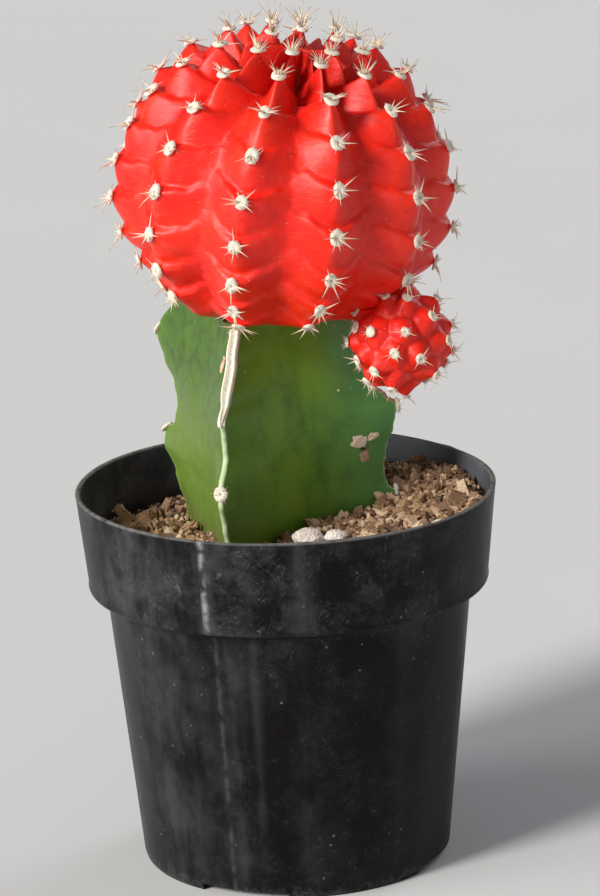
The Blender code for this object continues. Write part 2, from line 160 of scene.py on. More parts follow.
# Latitude of each rib's first areole and the step down to the next; ribs 0 to 3 run from
# the front to the right, and the last two are on the left
RIB_AREOLES = (
    (76.9, 14.85), (69.6, 15.0), (77.2, 14.55), (70.0, 14.2), (77.0, 14.8), (69.5, 15.1),
    (78.0, 15.1), (71.5, 15.1), (78.5, 15.1), (62.5, 13.3), (70.5, 14.8),
)
LOWEST_AREOLE = -46.0

# Side globe
SIDE_CENTRE = Vector((17.9, -10.0, 83.8)) * MM
SIDE_RADIUS = 7.0 * MM
SIDE_TALL = 1.08
SIDE_TUBERCLE = 1.05            # height of a tubercle in mm
# Azimuth and elevation of the areoles that face the front; the rest follow a spiral
SIDE_AREOLES = (
    (-80, 58), (-31, 59), (13, 56), (43, 31), (-82, 34), (-61, 19), (-36, 18), (4, 19),
    (-80, 0), (-57, -14), (-34, -23), (-57, -40), (-17, -49), (15, -74), (20, -9),
    (85, 14), (60, 3), (80, 45), (48, -32), (-8, -2),
)

# Stage
CAMERA_PLACE = (0.0, -0.66497, 0.24729)
CAMERA_TURN = (74.623, 1.778, -0.693)
# Name, azimuth, elevation, share of the key's strength, spread in degrees and colour
LIGHTS = (
    ("key", -49.0, 29.0, 1.0, 15.0, (1.0, 0.97, 0.93)),
    ("window", -74.0, 13.0, 0.48, 28.0, (0.95, 0.97, 1.0)),
    ("front", 8.0, 6.0, 0.06, 12.0, (1.0, 0.98, 0.95)),
    ("back_right", 140.0, 28.0, 0.22, 27.0, (0.92, 0.95, 1.0)),
)


# ------------------------------------------------------------------ settings

class PotSettings(bpy.types.PropertyGroup):
    """What a user would change on the pot."""
    plastic: FloatVectorProperty(name="Plastic", description="Colour of the moulded plastic",
                                 subtype="COLOR", size=3, min=0.0, max=1.0,
                                 default=(0.0034, 0.0025, 0.0025))
    dust: FloatProperty(name="Dust", description="How much dust lies on the pot",
                        default=0.55, min=0.0, max=1.0, subtype="FACTOR")
    segments: IntProperty(name="Segments", description="Sides of the turned shape",
                          default=288, min=24, max=512)


class MixSettings(bpy.types.PropertyGroup):
    """What a user would change on the potting mix."""
    chips: IntProperty(name="Chips", description="Number of bark chips on the mix",
                       default=2300, min=0, max=4000)
    crumbs: IntProperty(name="Crumbs", description="Number of small crumbs between the chips",
                        default=3000, min=0, max=4000)
    fibres: IntProperty(name="Fibres", description="Number of loose fibres",
                        default=260, min=0, max=1000)
    seed: IntProperty(name="Seed", description="Start of the scatter", default=11, min=0)


class PlantSettings(bpy.types.PropertyGroup):
    """What a user would change on the plant."""
    red: FloatVectorProperty(name="Red", description="Colour of the globes' skin",
                             subtype="COLOR", size=3, min=0.0, max=1.0,
                             default=(0.92, 0.0125, 0.0027))
    green: FloatVectorProperty(name="Green", description="Colour of the stem's skin",
                               subtype="COLOR", size=3, min=0.0, max=1.0,
                               default=(0.146, 0.345, 0.026))
    spine_length: FloatProperty(name="Spine length", description="Length of a typical spine",
                                default=2.9 * MM, min=0.0005, max=0.01, unit="LENGTH")
    wool_width: FloatProperty(name="Wool width", description="Width of a typical wool pad",
                              default=2.05 * MM, min=0.0005, max=0.005, unit="LENGTH")
    seed: IntProperty(name="Seed", description="Start of the spines' scatter", default=5, min=0)


class StageSettings(bpy.types.PropertyGroup):
    """Camera and light."""
    lens: FloatProperty(name="Lens", description="Focal length in millimetres",
                        default=180.8, min=20.0, max=400.0)
    key: FloatProperty(name="Key light", description="Strength of the key light",
                       default=3.15, min=0.0, max=20.0)
    room: FloatProperty(name="Room light", description="Strength of the light from all round",
                        default=0.30, min=0.0, max=2.0)


# ------------------------------------------------------------------ shader maths

class Wire:
    """A shader output that takes ordinary arithmetic."""

    def __init__(self, finish, socket):
        self.finish = finish
        self.socket = socket

    def _math(self, operation, first, second):
        return self.finish.node("ShaderNodeMath", {"operation": operation}, {0: first, 1: second})

    def __add__(self, other):
        return self._math("ADD", self, other)

    __radd__ = __add__

    def __sub__(self, other):
        return self._math("SUBTRACT", self, other)

    def __rsub__(self, other):
        return self._math("SUBTRACT", other, self)

    def __mul__(self, other):
        return self._math("MULTIPLY", self, other)

    __rmul__ = __mul__

    def __gt__(self, other):
        return self._math("GREATER_THAN", self, other)


class Finish:
    """One material and the nodes behind its Principled shader."""

    def __init__(self, name, **constants):
        self.material = bpy.data.materials.new(name)
        self.material.use_nodes = True
        self.tree = self.material.node_tree
        self.shader = self.tree.nodes["Principled BSDF"]
        for socket, value in constants.items():
            self.shader.inputs[socket.replace("_", " ")].default_value = value
        self.place = self.node("ShaderNodeTexCoord", {}, {}, "Object")

    def node(self, kind, settings, sockets, output=0):
        """Add a node: settings first, then socket values or links; returns one output."""
        made = self.tree.nodes.new(kind)
        for key, value in settings.items():
            if key == "stops":
                self._stops(made.color_ramp, value)
            else:
                setattr(made, key, value)
        for key, value in sockets.items():
            if isinstance(value, Wire):
                self.tree.links.new(value.socket, made.inputs[key])
            elif value is not None:
                made.inputs[key].default_value = value
        return Wire(self, made.outputs[output])

    @staticmethod
    def _stops(ramp, stops):
        while len(ramp.elements) < len(stops):
            ramp.elements.new(0.5)
        for element, (position, value) in zip(ramp.elements, stops):
            element.position = position
            element.color = (*value, 1.0) if isinstance(value, tuple) else (value, value, value, 1.0)

    def feed(self, **sockets):
        """Link wires to the shader's own sockets."""
        for name, wire in sockets.items():
            self.tree.links.new(wire.socket, self.shader.inputs[name.replace("_", " ")])
        return self

    def noise(self, size, detail=3.0, rough=0.5, distortion=0.0, stretch=None):
        """Noise whose features are about this size; stretch scales it along each axis."""
        where = self.place
        if stretch:
            where = self.node("ShaderNodeVectorMath", {"operation": "MULTIPLY"},
                              {0: where, 1: stretch})
        return self.node("ShaderNodeTexNoise", {}, {
            "Vector": where, "Scale": 1.0 / size, "Detail": detail, "Roughness": rough,
            "Distortion": distortion})

    def cells(self, size):
        """Distance to the middle of the nearest cell, for cells of about this size."""
        return self.node("ShaderNodeTexVoronoi", {}, {
            "Vector": self.place, "Scale": 1.0 / size}, "Distance")

    def ramp(self, value, low, high, start=0.0, end=1.0):
        """Eased step from start to end as the value goes from low to high."""
        return self.node("ShaderNodeMapRange", {"interpolation_type": "SMOOTHSTEP"}, {
            "Value": value, "From Min": low, "From Max": high, "To Min": start, "To Max": end})

    def colours(self, value, *stops):
        """Colour at this value between (position, colour) stops."""
        return self.node("ShaderNodeValToRGB", {"stops": stops}, {"Fac": value})

    def mix(self, first, second, amount):
        """Blend of two colours, each a wire or a tuple."""
        sockets = {0: amount, 6: self._colour(first), 7: self._colour(second)}
        return self.node("ShaderNodeMix", {"data_type": "RGBA"}, sockets, 2)

    @staticmethod
    def _colour(value):
        return value if isinstance(value, Wire) else (*value, 1.0)

    def attribute(self, name):
        """A number stored on the mesh's points."""
        return self.node("ShaderNodeAttribute", {"attribute_name": name}, {}, "Fac")

    def axis(self, letter):
        """The object's own X, Y or Z in metres."""
        return self.node("ShaderNodeSeparateXYZ", {}, {"Vector": self.place}, letter)

    def bump(self, height, distance, strength=1.0, over=None):
        """A normal raised by height, over another bump where one is given."""
        return self.node("ShaderNodeBump", {}, {
            "Strength": strength, "Distance": distance, "Height": height, "Normal": over})


# ------------------------------------------------------------------ mesh helpers

def deselect():
    """Leave edit mode and select nothing."""
    if bpy.context.object and bpy.context.object.mode != "OBJECT":
        bpy.ops.object.mode_set(mode="OBJECT")
    bpy.ops.object.select_all(action="DESELECT")


def pick(*objects):
    """Select these objects only, the first of them active."""
    deselect()
    for obj in objects:
        obj.select_set(True)
    bpy.context.view_layer.objects.active = objects[0]


def edit(obj):
    """Enter edit mode on the object with everything selected."""
    pick(obj)
    bpy.ops.object.mode_set(mode="EDIT")
    bpy.ops.mesh.select_all(action="SELECT")


def primitive(add, name, **shape):
    """Add a primitive with one of bpy.ops.mesh's own operators and name it."""
    deselect()
    add(**shape)
    obj = bpy.context.object
    obj.name = name
    obj.data.name = name
    return obj


def set_place(obj):
    """Bake the object's place into its mesh, so that it sits at the origin."""
    pick(obj)
    bpy.ops.object.transform_apply(location=True, rotation=True, scale=True)


def points_of(mesh):
    """The mesh's points as rows of x, y and z."""
    flat = np.empty(len(mesh.vertices) * 3)
    mesh.vertices.foreach_get("co", flat)
    return flat.reshape(-1, 3)


def set_points(mesh, points):
    """Move the mesh's points to these rows."""
    mesh.vertices.foreach_set("co", np.ascontiguousarray(points, dtype=np.float32).ravel())
    mesh.update()


def add_values(mesh, name, values):
    """Store one number for each point, for the materials to read."""
    layer = mesh.attributes.new(name, "FLOAT", "POINT")
    layer.data.foreach_set("value", np.ascontiguousarray(values, dtype=np.float32))


def shade(obj, angle=None):
    """Shade smooth, with sharp edges past an angle in degrees where one is given."""
    pick(obj)
    if angle is None:
        bpy.ops.object.shade_smooth()
    else:
        bpy.ops.object.shade_smooth_by_angle(angle=math.radians(angle))


def outward(obj):
    """Merge doubles and turn every face outwards."""
    edit(obj)
    bpy.ops.mesh.remove_doubles(threshold=0.002 * MM)
    bpy.ops.mesh.normals_make_consistent(inside=False)
    bpy.ops.object.mode_set(mode="OBJECT")


def cut_runs(obj, axis, cuts):
    """Cut the edges that run the whole unit length of a shape into equal pieces."""
    pick(obj)
    bpy.ops.object.mode_set(mode="EDIT")
    bpy.ops.mesh.select_all(action="DESELECT")
    bpy.ops.mesh.select_mode(type="EDGE")
    bm = bmesh.from_edit_mesh(obj.data)
    for edge in bm.edges:
        edge.select_set(abs(edge.verts[0].co[axis] - edge.verts[1].co[axis]) > 0.5)
    bmesh.update_edit_mesh(obj.data)
    bpy.ops.mesh.subdivide(number_cuts=cuts)
    bpy.ops.object.mode_set(mode="OBJECT")


def apply_all(obj):
    """Apply the object's modifiers in order."""
    pick(obj)
    for modifier in list(obj.modifiers):
        bpy.ops.object.modifier_apply(modifier=modifier.name)


def cut_away(obj, tools):
    """Cut the tools out of the object and delete them."""
    for tool in tools:
        boolean = obj.modifiers.new("Cut", "BOOLEAN")
        boolean.operation = "DIFFERENCE"
        boolean.solver = "EXACT"
        boolean.object = tool
    apply_all(obj)
    for tool in tools:
        bpy.data.objects.remove(tool)


def stamp(name, template, places, tones=None):
    """One mesh with a copy of the template at each place, and a tone for each copy."""
    points = points_of(template.data)
    count = len(points)
    faces = [tuple(p.vertices) for p in template.data.polygons]
    stack = np.array([[list(row) for row in place] for place in places])
    moved = np.einsum("kij,nj->kni", stack[:, :3, :3], points) + stack[:, None, :3, 3]
    every = [tuple(v + k * count for v in face) for k in range(len(places)) for face in faces]
    mesh = bpy.data.meshes.new(name)
    mesh.from_pydata(moved.reshape(-1, 3).tolist(), [], every)
    for layer in template.data.attributes:
        if layer.name.startswith("along"):
            along = np.empty(count)
            layer.data.foreach_get("value", along)
            add_values(mesh, layer.name, np.tile(along, len(places)))
    if tones is not None:
        add_values(mesh, "tone", np.repeat(np.array(tones), count))
    obj = bpy.data.objects.new(name, mesh)
    bpy.context.scene.collection.objects.link(obj)
    return obj


def joined(name, parts):
    """Join objects into one with this name."""
    pick(*parts)
    bpy.ops.object.join()
    parts[0].name = name
    parts[0].data.name = name
    return parts[0]


def complete(obj, finish, slot, *nodes):
    """Give a finished piece its material and its body, and hide the solids it replaces; the slot is
    not used.
    """
    obj.data.materials.clear()
    obj.data.materials.append(finish.material)
    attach(obj, BODY)
    if nodes:
        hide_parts(*nodes)
    return obj


# ------------------------------------------------------------------ shape rules

def smooth(low, high, value):
    """Eased step from 0 to 1 as the value goes from low to high."""
    t = np.clip((np.asarray(value, dtype=float) - low) / (high - low), 0.0, 1.0)
    return t * t * (3.0 - 2.0 * t)


def polar(radius, azimuth, z=0.0):
    """Point at a radius from the pot's axis and an azimuth in degrees."""
    angle = math.radians(azimuth)
    return Vector((radius * math.sin(angle), -radius * math.cos(angle), z))


def lumps(points, size, seed=0.0):
    """Gentle noise between -1 and 1 at each point."""
    shift = Vector((seed, seed * 1.7, seed * 2.3))
    return np.array([noise.noise(Vector(p) / size + shift) for p in points])


def eased(table, value):
    """Eased interpolation through (position, value) pairs."""
    value = np.asarray(value, dtype=float)
    result = np.full(value.shape, float(table[0][1]))
    for (p0, v0), (p1, v1) in zip(table, table[1:]):
        result = result + (v1 - v0) * smooth(p0, p1, value)
    return result


def body_radius(z):
    """Outer radius of the pot's body at a height."""
    return BASE_RADIUS + (BODY_TOP_RADIUS - BASE_RADIUS) * z / BODY_TOP_Z


def collar_radius(z):
    """Outer radius of the pot's collar at a height."""
    t = (z - COLLAR_FOOT_Z) / (RIM_Z - COLLAR_FOOT_Z)
    return COLLAR_FOOT_RADIUS + (RIM_RADIUS - COLLAR_FOOT_RADIUS) * t


def mix_height(x, y):
    """Height of the mix's surface."""
    z = MIX_LEVEL + MIX_SLOPE * x
    for px, py, height, spread in (MIX_HEAP, MIX_DIP):
        z = z + height * math.exp(-((x - px) ** 2 + (y - py) ** 2) / (2.0 * spread ** 2))
    return z


def wing_radius(wing, z):
    """Distance of a wing's crest from the stem's axis at a height."""
    return eased(WING_OUTLINES[wing], np.asarray(z) / MM) * MM


def even_radius(wing, z):
    """A wing's radius without its bumps, for the middle of the faces."""
    foot, top = WING_OUTLINES[wing][0][1], WING_OUTLINES[wing][-1][1]
    return eased(((20, foot), (46, 19.2), (71, 20.2), (89, top)), np.asarray(z) / MM) * MM


def stem_section(angle, z):
    """Points of the stem's skin for arrays of angle (degrees from the front wing) and height.

    Also returns how near each point is to a wing's crest, 1 on it and 0 on the faces.
    """
    wing = (angle // 120.0).astype(int) % 3
    along = (angle % 120.0) / 120.0
    radii = np.stack([wing_radius(i, z) for i in range(3)])
    evens = np.stack([even_radius(i, z) for i in range(3)])
    azimuths = np.radians(np.array(WING_AZIMUTHS))
    out = np.stack([np.sin(azimuths), -np.cos(azimuths)], axis=1)
    across = np.stack([np.cos(azimuths), np.sin(azimuths)], axis=1)
    rows = np.arange(len(angle))
    round_part = 0.09
    point = np.zeros((len(angle), 2))
    ends = []
    even = []
    for index, side in ((wing, 1.0), ((wing + 1) % 3, -1.0)):
        radius = radii[index, rows]
        start = np.array(SHAVED_FROM)[index]
        half = WING_TIP + (SHAVED_TIP - WING_TIP) * smooth(0.0, 3.0 * MM, z - start)
        half = half[:, None]
        ends.append((radius[:, None] - half) * out[index])
        ends.append(out[index] * half)
        ends.append(across[index] * half * side)
        even.append((evens[index, rows][:, None] - half) * out[index] + ends[-1])
    for base, tip, flank, amount in (
        (ends[0], ends[1], ends[2], along / round_part),
        (ends[3], ends[4], ends[5], (1.0 - along) / round_part),
    ):
        turn = np.clip(amount, 0.0, 1.0)[:, None] * math.pi / 2.0
        arc = base + tip * np.cos(turn) + flank * np.sin(turn)
        inside = amount <= 1.0
        point[inside] = arc[inside]
    middle = (along > round_part) & (along < 1.0 - round_part)
    t = np.clip((along - round_part) / (1.0 - 2.0 * round_part), 0.0, 1.0)[:, None]
    flat = (ends[0] + ends[2]) * (1.0 - t) + (ends[3] + ends[5]) * t
    inward = smooth(0.0, 0.30, np.minimum(t, 1.0 - t)) * 0.85
    flat = flat * (1.0 - inward) + (even[0] * (1.0 - t) + even[1] * t) * inward
    bow = FACE_BOW * np.sin(math.pi * t[:, 0]) * smooth(15 * MM, 45 * MM, z)
    flat = flat * (1.0 - bow / np.linalg.norm(flat, axis=1))[:, None]
    point[middle] = flat[middle]
    near = np.minimum(along, 1.0 - along)
    crest = 1.0 - smooth(round_part * 0.2, round_part * 0.95, near)
    return np.column_stack([point[:, 0] + STEM_X, point[:, 1], z]), crest


def stem_point(angle, z):
    """One point of the stem's skin."""
    points, _ = stem_section(np.array([float(angle) % 360.0]), np.array([float(z)]))
    return Vector(points[0])


def globe_matrix():
    """Turn from the globe's own tilted frame to the world."""
    lean = Matrix.Rotation(math.radians(TILT_RIGHT), 3, "Y")
    nod = Matrix.Rotation(math.radians(TILT_FORWARD), 3, "X")
    return np.array(lean @ nod)


def globe_outline(latitude):
    """Distance of a rib's crest from the globe's centre, without its tubercles."""
    up = latitude > 0.0
    power = np.where(up, CROWN_FULLNESS, BASE_FULLNESS)
    wide = np.abs(np.cos(np.radians(latitude))) / GLOBE_RADIUS
    high = np.abs(np.sin(np.radians(latitude))) / np.where(up, GLOBE_UP, GLOBE_DOWN)
    return (wide ** power + high ** power) ** (-1.0 / power)


def globe_skin(latitude, azimuth):
    """Radius of the globe's skin, and masks for its crests, creases and hollows."""
    turn = (azimuth - RIB_AZIMUTH) / RIB_STEP
    nearest = np.round(turn)
    off = np.abs(turn - nearest) * 2.0
    rib = nearest.astype(int) % RIBS
    first = np.array([start for start, _ in RIB_AREOLES])[rib]
    pitch = np.array([step for _, step in RIB_AREOLES])[rib]
    crown = smooth(38.0, 72.0, latitude)
    pole = 1.0 - smooth(80.0, 90.0, latitude)
    rounded = np.sqrt(off ** 2 + 0.02 ** 2)
    waist = np.clip(1.02 - rounded, 0.0, 1.0) ** (1.20 + 0.8 * crown)
    ridge = 0.42 * (0.5 + 0.5 * np.cos(math.pi * off)) * (1.0 - 0.4 * crown)
    ridge = ridge + waist * (0.58 + 0.168 * crown)
    wander = 1.1 * np.sin(azimuth * 0.31 + rib * 2.1) + 0.8 * np.sin(
        azimuth * 0.83 + latitude * 0.13 + rib * 1.3)
    lowered = latitude - 0.42 * pitch * off ** 1.2 + wander * off
    phase = (first - lowered) / pitch
    step = phase - np.floor(phase)
    below = np.floor(phase)
    scatter = 0.5 + 0.5 * np.sin(rib * 12.9898 + below * 78.233)
    dent = np.where(step < 0.8, (step / 0.8) ** 1.5, 1.0 - smooth(0.8, 1.0, step))
    started = smooth(-0.75, -0.35, phase)
    under = 1.0 - smooth(-46.0, -24.0, latitude)
    furrow = (3.15 + 2.4 * crown) * (1.0 - 0.6 * under) * MM
    drop = (1.38 + 1.9 * crown) * (0.75 + 0.5 * scatter) * (1.0 - 0.7 * under) * MM
    shallow = 1.0 - (0.86 - 0.25 * crown) * off ** 0.8
    radius = globe_outline(latitude) - furrow * (1.0 - ridge) * pole
    radius = radius - drop * dent * shallow * pole * started
    radius = radius + 0.45 * MM * crown * ridge * (1.0 - dent) * pole * started
    crease = np.exp(-((np.minimum(step, 1.0 - step) * pitch) / 0.55) ** 2)
    crease = crease * smooth(0.12, 0.3, off) * (1.0 - smooth(0.82, 1.0, off)) * (1.0 - 0.6 * crown)
    crease = crease * (0.25 + 0.75 * smooth(-0.6, 0.9, np.sin(
        azimuth * 0.57 + latitude * 0.21 + rib * 3.7)))
    radius = radius - 0.09 * MM * crease
    radius = radius - 1.7 * MM * smooth(70.0, 90.0, latitude)
    crest = (1.0 - smooth(0.0, 0.22, off)) * (1.0 - 0.3 * dent)
    return radius, crest, crease, 1.0 - ridge


def settled(z):
    """Height after the globe's underside is pressed flat, with a rounded lip."""
    soft = 0.6 * MM
    above = (np.asarray(z) - CUT_Z) / soft
    return CUT_Z + soft * np.where(above > 30.0, above, np.log1p(np.exp(np.minimum(above, 30.0))))


def on_globe(latitude, azimuth, lift=0.0):
    """World point on the globe's skin."""
    radius = float(globe_skin(np.array([latitude]), np.array([azimuth]))[0][0]) + lift
    lat, az = math.radians(latitude), math.radians(azimuth)
    local = radius * np.array([math.cos(lat) * math.sin(az), -math.cos(lat) * math.cos(az),
                               math.sin(lat)])
    return Vector(globe_matrix() @ local) + GLOBE_CENTRE


def lip_point(azimuth):
    """Where a rib's crest turns under at the globe's flat underside."""
    latitude = -15.0
    while on_globe(latitude, azimuth).z > CUT_Z + 1.0 * MM:
        latitude -= 0.5
    return on_globe(latitude, azimuth, 0.1 * MM)


def globe_seats():
    """Places of the globe's areoles: point, outward direction, downward direction, youth."""
    seats = []
    for rib, (first, pitch) in enumerate(RIB_AREOLES):
        azimuth = RIB_AZIMUTH + rib * RIB_STEP
        latitude = first
        while latitude > LOWEST_AREOLE:
            point = on_globe(latitude, azimuth, 0.1 * MM)
            below = on_globe(latitude - 2.0, azimuth)
            above = on_globe(latitude + 2.0, azimuth)
            down = (below - above).normalized()
            side = (on_globe(latitude, azimuth + 1.0) - on_globe(latitude, azimuth - 1.0))
            radial = (point - GLOBE_CENTRE).normalized()
            out = (radial + side.normalized().cross(down) * -0.35).normalized()
            at_lip = point.z < CUT_Z + LIP_HEIGHT
            if at_lip:
                point = lip_point(azimuth)
                out = (out + Vector((0.0, 0.0, -0.75))).normalized()
                down = (Vector((0.0, 0.0, -1.0)) + out * out.z).normalized()
            seats.append((point, out, down, float(smooth(40.0, 75.0, latitude))))
            if at_lip:
                break
            latitude -= pitch
    return seats


def side_directions():
    """Directions of the side globe's areoles: those in front, then a spiral behind."""
    chosen = []
    for azimuth, elevation in SIDE_AREOLES:
        e = math.radians(elevation)
        flat = polar(math.cos(e), azimuth)
        chosen.append(Vector((flat.x, flat.y, math.sin(e))))
    golden = math.pi * (3.0 - math.sqrt(5.0))
    count = 56
    for i in range(count):
        z = 1.0 - 2.0 * (i + 0.5) / count
        spread = math.sqrt(1.0 - z * z)
        spot = Vector((spread * math.cos(golden * i), spread * math.sin(golden * i), z))
        if all(spot.angle(other) > math.radians(24.0) for other in chosen):
            chosen.append(spot)
    return chosen


def side_skin(directions, seats):
    """World points of the side globe for unit directions, and masks for its tubercles and
    the seams between them."""
    tips = np.array([list(s) for s in seats])
    angles = np.degrees(np.arccos(np.clip(directions @ tips.T, -1.0, 1.0)))
    angles.sort(axis=1)
    nearest = angles[:, 0]
    second = angles[:, 1]
    cone = np.exp(-(nearest / 10.5) ** 1.7)
    seam = np.exp(-((second - nearest) / 7.5) ** 1.8)
    uneven = 0.22 * lumps(directions, 0.30, 3.0) + 0.10 * lumps(directions, 0.11, 7.0)
    radius = SIDE_RADIUS + (SIDE_TUBERCLE * cone - 0.30 * seam + uneven * (1.0 - cone)) * MM
    local = directions * radius[:, None] * np.array([1.0, 1.0, SIDE_TALL])
    points = local + np.array(SIDE_CENTRE)
    return clear_of_globe(points), cone, seam


def clear_of_globe(points):
    """Press points that would lie inside the globe out to just above its skin."""
    turn = globe_matrix()
    local = (points - np.array(GLOBE_CENTRE)) @ turn
    length = np.linalg.norm(local, axis=1)
    latitude = np.degrees(np.arcsin(np.clip(local[:, 2] / length, -1.0, 1.0)))
    azimuth = np.degrees(np.arctan2(local[:, 0], -local[:, 1]))
    least = globe_skin(latitude, azimuth)[0] + 0.15 * MM
    pushed = local * (np.maximum(length, least) / length)[:, None]
    return pushed @ turn.T + np.array(GLOBE_CENTRE)


# ------------------------------------------------------------------ finishes

def plastic_finish(settings):
    """Black moulded plastic with dust, scuffs and a worn rim, with painted highlights along the
    parting line and in vertical streaks, painted light on the inner wall and a painted shadow under
    the collar.
    """
    f = Finish("black_moulded_plastic", IOR=1.49, Specular_IOR_Level=0.13)
    high = f.axis("Z")
    haze = f.noise(9 * MM, 5.0, 0.62)
    streak = f.noise(3.2 * MM, 4.0, 0.6, stretch=(1.0, 1.0, 0.16))
    grain = f.noise(0.35 * MM, 2.0, 0.6)
    patches = f.ramp(haze * 0.55 + streak * 0.15 + f.noise(2.6 * MM, 5.0, 0.7, distortion=1.2)
                     * 0.3, 0.44, 0.64)
    ragged = f.noise(0.6 * MM, 3.0, 0.7) * 0.16
    speckle = f.ramp(f.cells(1.9 * MM) + ragged, 0.22, 0.13) * f.ramp(
        f.noise(4.5 * MM, 3.0), 0.53, 0.60)
    fine = f.ramp(f.cells(0.50 * MM) + ragged, 0.26, 0.14) * f.ramp(
        f.noise(5.5 * MM, 3.0), 0.52, 0.62)
    lines = f.noise(2.6 * MM, 3.0, 0.5, stretch=(1.0, 1.0, 0.45), distortion=1.6)
    scratches = f.ramp(lines, 0.502, 0.5) * f.ramp(lines, 0.497, 0.5) * f.ramp(
        f.noise(6 * MM, 3.0, 0.6), 0.54, 0.64)
    seam = f.attribute("seam") * f.ramp(f.noise(2.0 * MM, 3.0), 0.30, 0.62)
    painted_highlight_streaks = f.attribute("streaks") * f.ramp(streak * 0.5 + haze * 0.5, 0.34, 0.6)
    inner = f.attribute("inner")
    rim = f.ramp(high, RIM_Z - 0.55 * MM, RIM_Z - 0.05 * MM)
    foot = f.ramp(high + f.noise(4.0 * MM, 4.0) * (5.0 * MM), 5.2 * MM, 2.4 * MM) * f.ramp(
        f.noise(1.1 * MM, 4.0, 0.7), 0.42, 0.6)
    dusty = f.ramp(high, 34.0 * MM, 50.0 * MM, 0.48, 1.6) * settings.dust
    base = f.mix(tuple(settings.plastic), (0.024, 0.0225, 0.0235), patches * dusty)
    base = f.mix(base, (0.085, 0.088, 0.098), grain * patches * dusty * 0.4)
    wisps = f.noise(1.7 * MM, 6.0, 0.75, distortion=1.8)
    cloudy = f.ramp(wisps, 0.57, 0.63) * f.ramp(haze, 0.40, 0.60)
    base = f.mix(base, (0.075, 0.077, 0.084), cloudy * dusty)
    # Painted highlights in pale vertical streaks
    base = f.mix(base, (0.085, 0.084, 0.088), painted_highlight_streaks * 0.45)
    base = f.mix(base, (0.12, 0.13, 0.15), scratches * 0.6)
    # Painted highlight along the parting line, partly wear
    base = f.mix(base, (0.46, 0.46, 0.46), seam * 0.8)
    # Painted light and bluish reflection on the inner wall
    base = f.mix(base, (0.130, 0.140, 0.162), inner * f.ramp(haze, 0.3, 0.6, 0.4, 0.9))
    base = f.mix(base, (0.20, 0.21, 0.225), speckle * 0.6)
    base = f.mix(base, (0.12, 0.125, 0.14), fine * 0.5)
    base = f.mix(base, (0.17, 0.168, 0.16), rim * f.ramp(f.noise(1.6 * MM, 3.0), 0.15, 0.6))
    base = f.mix(base, (0.10, 0.10, 0.105), foot * 0.4)
    # Painted shadow: a dark band on the body just under the collar
    painted_shade_under_collar = f.ramp(high, 42.5 * MM, 43.2 * MM) * f.ramp(high, 44.15 * MM, 43.75 * MM)
    base = f.mix(base, (0.0008, 0.0006, 0.0006), painted_shade_under_collar * 0.9)
    rough = 0.32 + patches * 0.14 + streak * 0.08 + speckle * 0.3 + rim * 0.12 + foot * 0.2
    fine_bump = f.bump(grain * 0.4 + f.noise(1.1 * MM, 3.0) * 0.6, 0.02 * MM, 0.6)
    broad = f.bump(f.noise(7 * MM, 2.0) + scratches * -0.3, 0.16 * MM, 0.5, fine_bump)
    return f.feed(Base_Color=base, Roughness=rough, Normal=broad)


def mix_finish():
    """Dark crumbly ground seen between the chips."""
    f = Finish("crumbled_bark", Roughness=0.95, Specular_IOR_Level=0.2)
    tone = f.noise(1.8 * MM, 5.0, 0.65)
    base = f.colours(tone, (0.3, (0.010, 0.006, 0.004)), (0.5, (0.045, 0.026, 0.015)),
                     (0.72, (0.16, 0.10, 0.06)))
    return f.feed(Base_Color=base, Normal=f.bump(tone, 1.0 * MM, 1.0))


def bark_finish(name, dark, middle, pale):
    """Dry bark: each chip has its own tone, with grain along it."""
    f = Finish(name, Roughness=0.9, Specular_IOR_Level=0.25)
    tone = f.attribute("tone")
    grain = f.noise(0.5 * MM, 4.0, 0.65, stretch=(1.0, 1.0, 2.2))
    blotch = f.noise(2.4 * MM, 3.0, 0.5)
    value = tone * 0.58 + grain * 0.62 + blotch * 0.24 - 0.24
    base = f.colours(value, (0.12, dark), (0.5, middle), (0.88, pale))
    return f.feed(Base_Color=base, Normal=f.bump(grain, 0.4 * MM, 1.0))


def pumice_finish():
    """Rough pale pumice with small pores."""
    f = Finish("rough_pumice", Roughness=0.9, Specular_IOR_Level=0.25)
    pores = f.cells(0.45 * MM)
    cloud = f.noise(0.9 * MM, 4.0, 0.6)
    base = f.mix((0.50, 0.42, 0.33), (0.86, 0.81, 0.74), f.ramp(cloud + pores * 0.4, 0.4, 0.75))
    return f.feed(Base_Color=base, Normal=f.bump(pores, 0.22 * MM, 0.8))


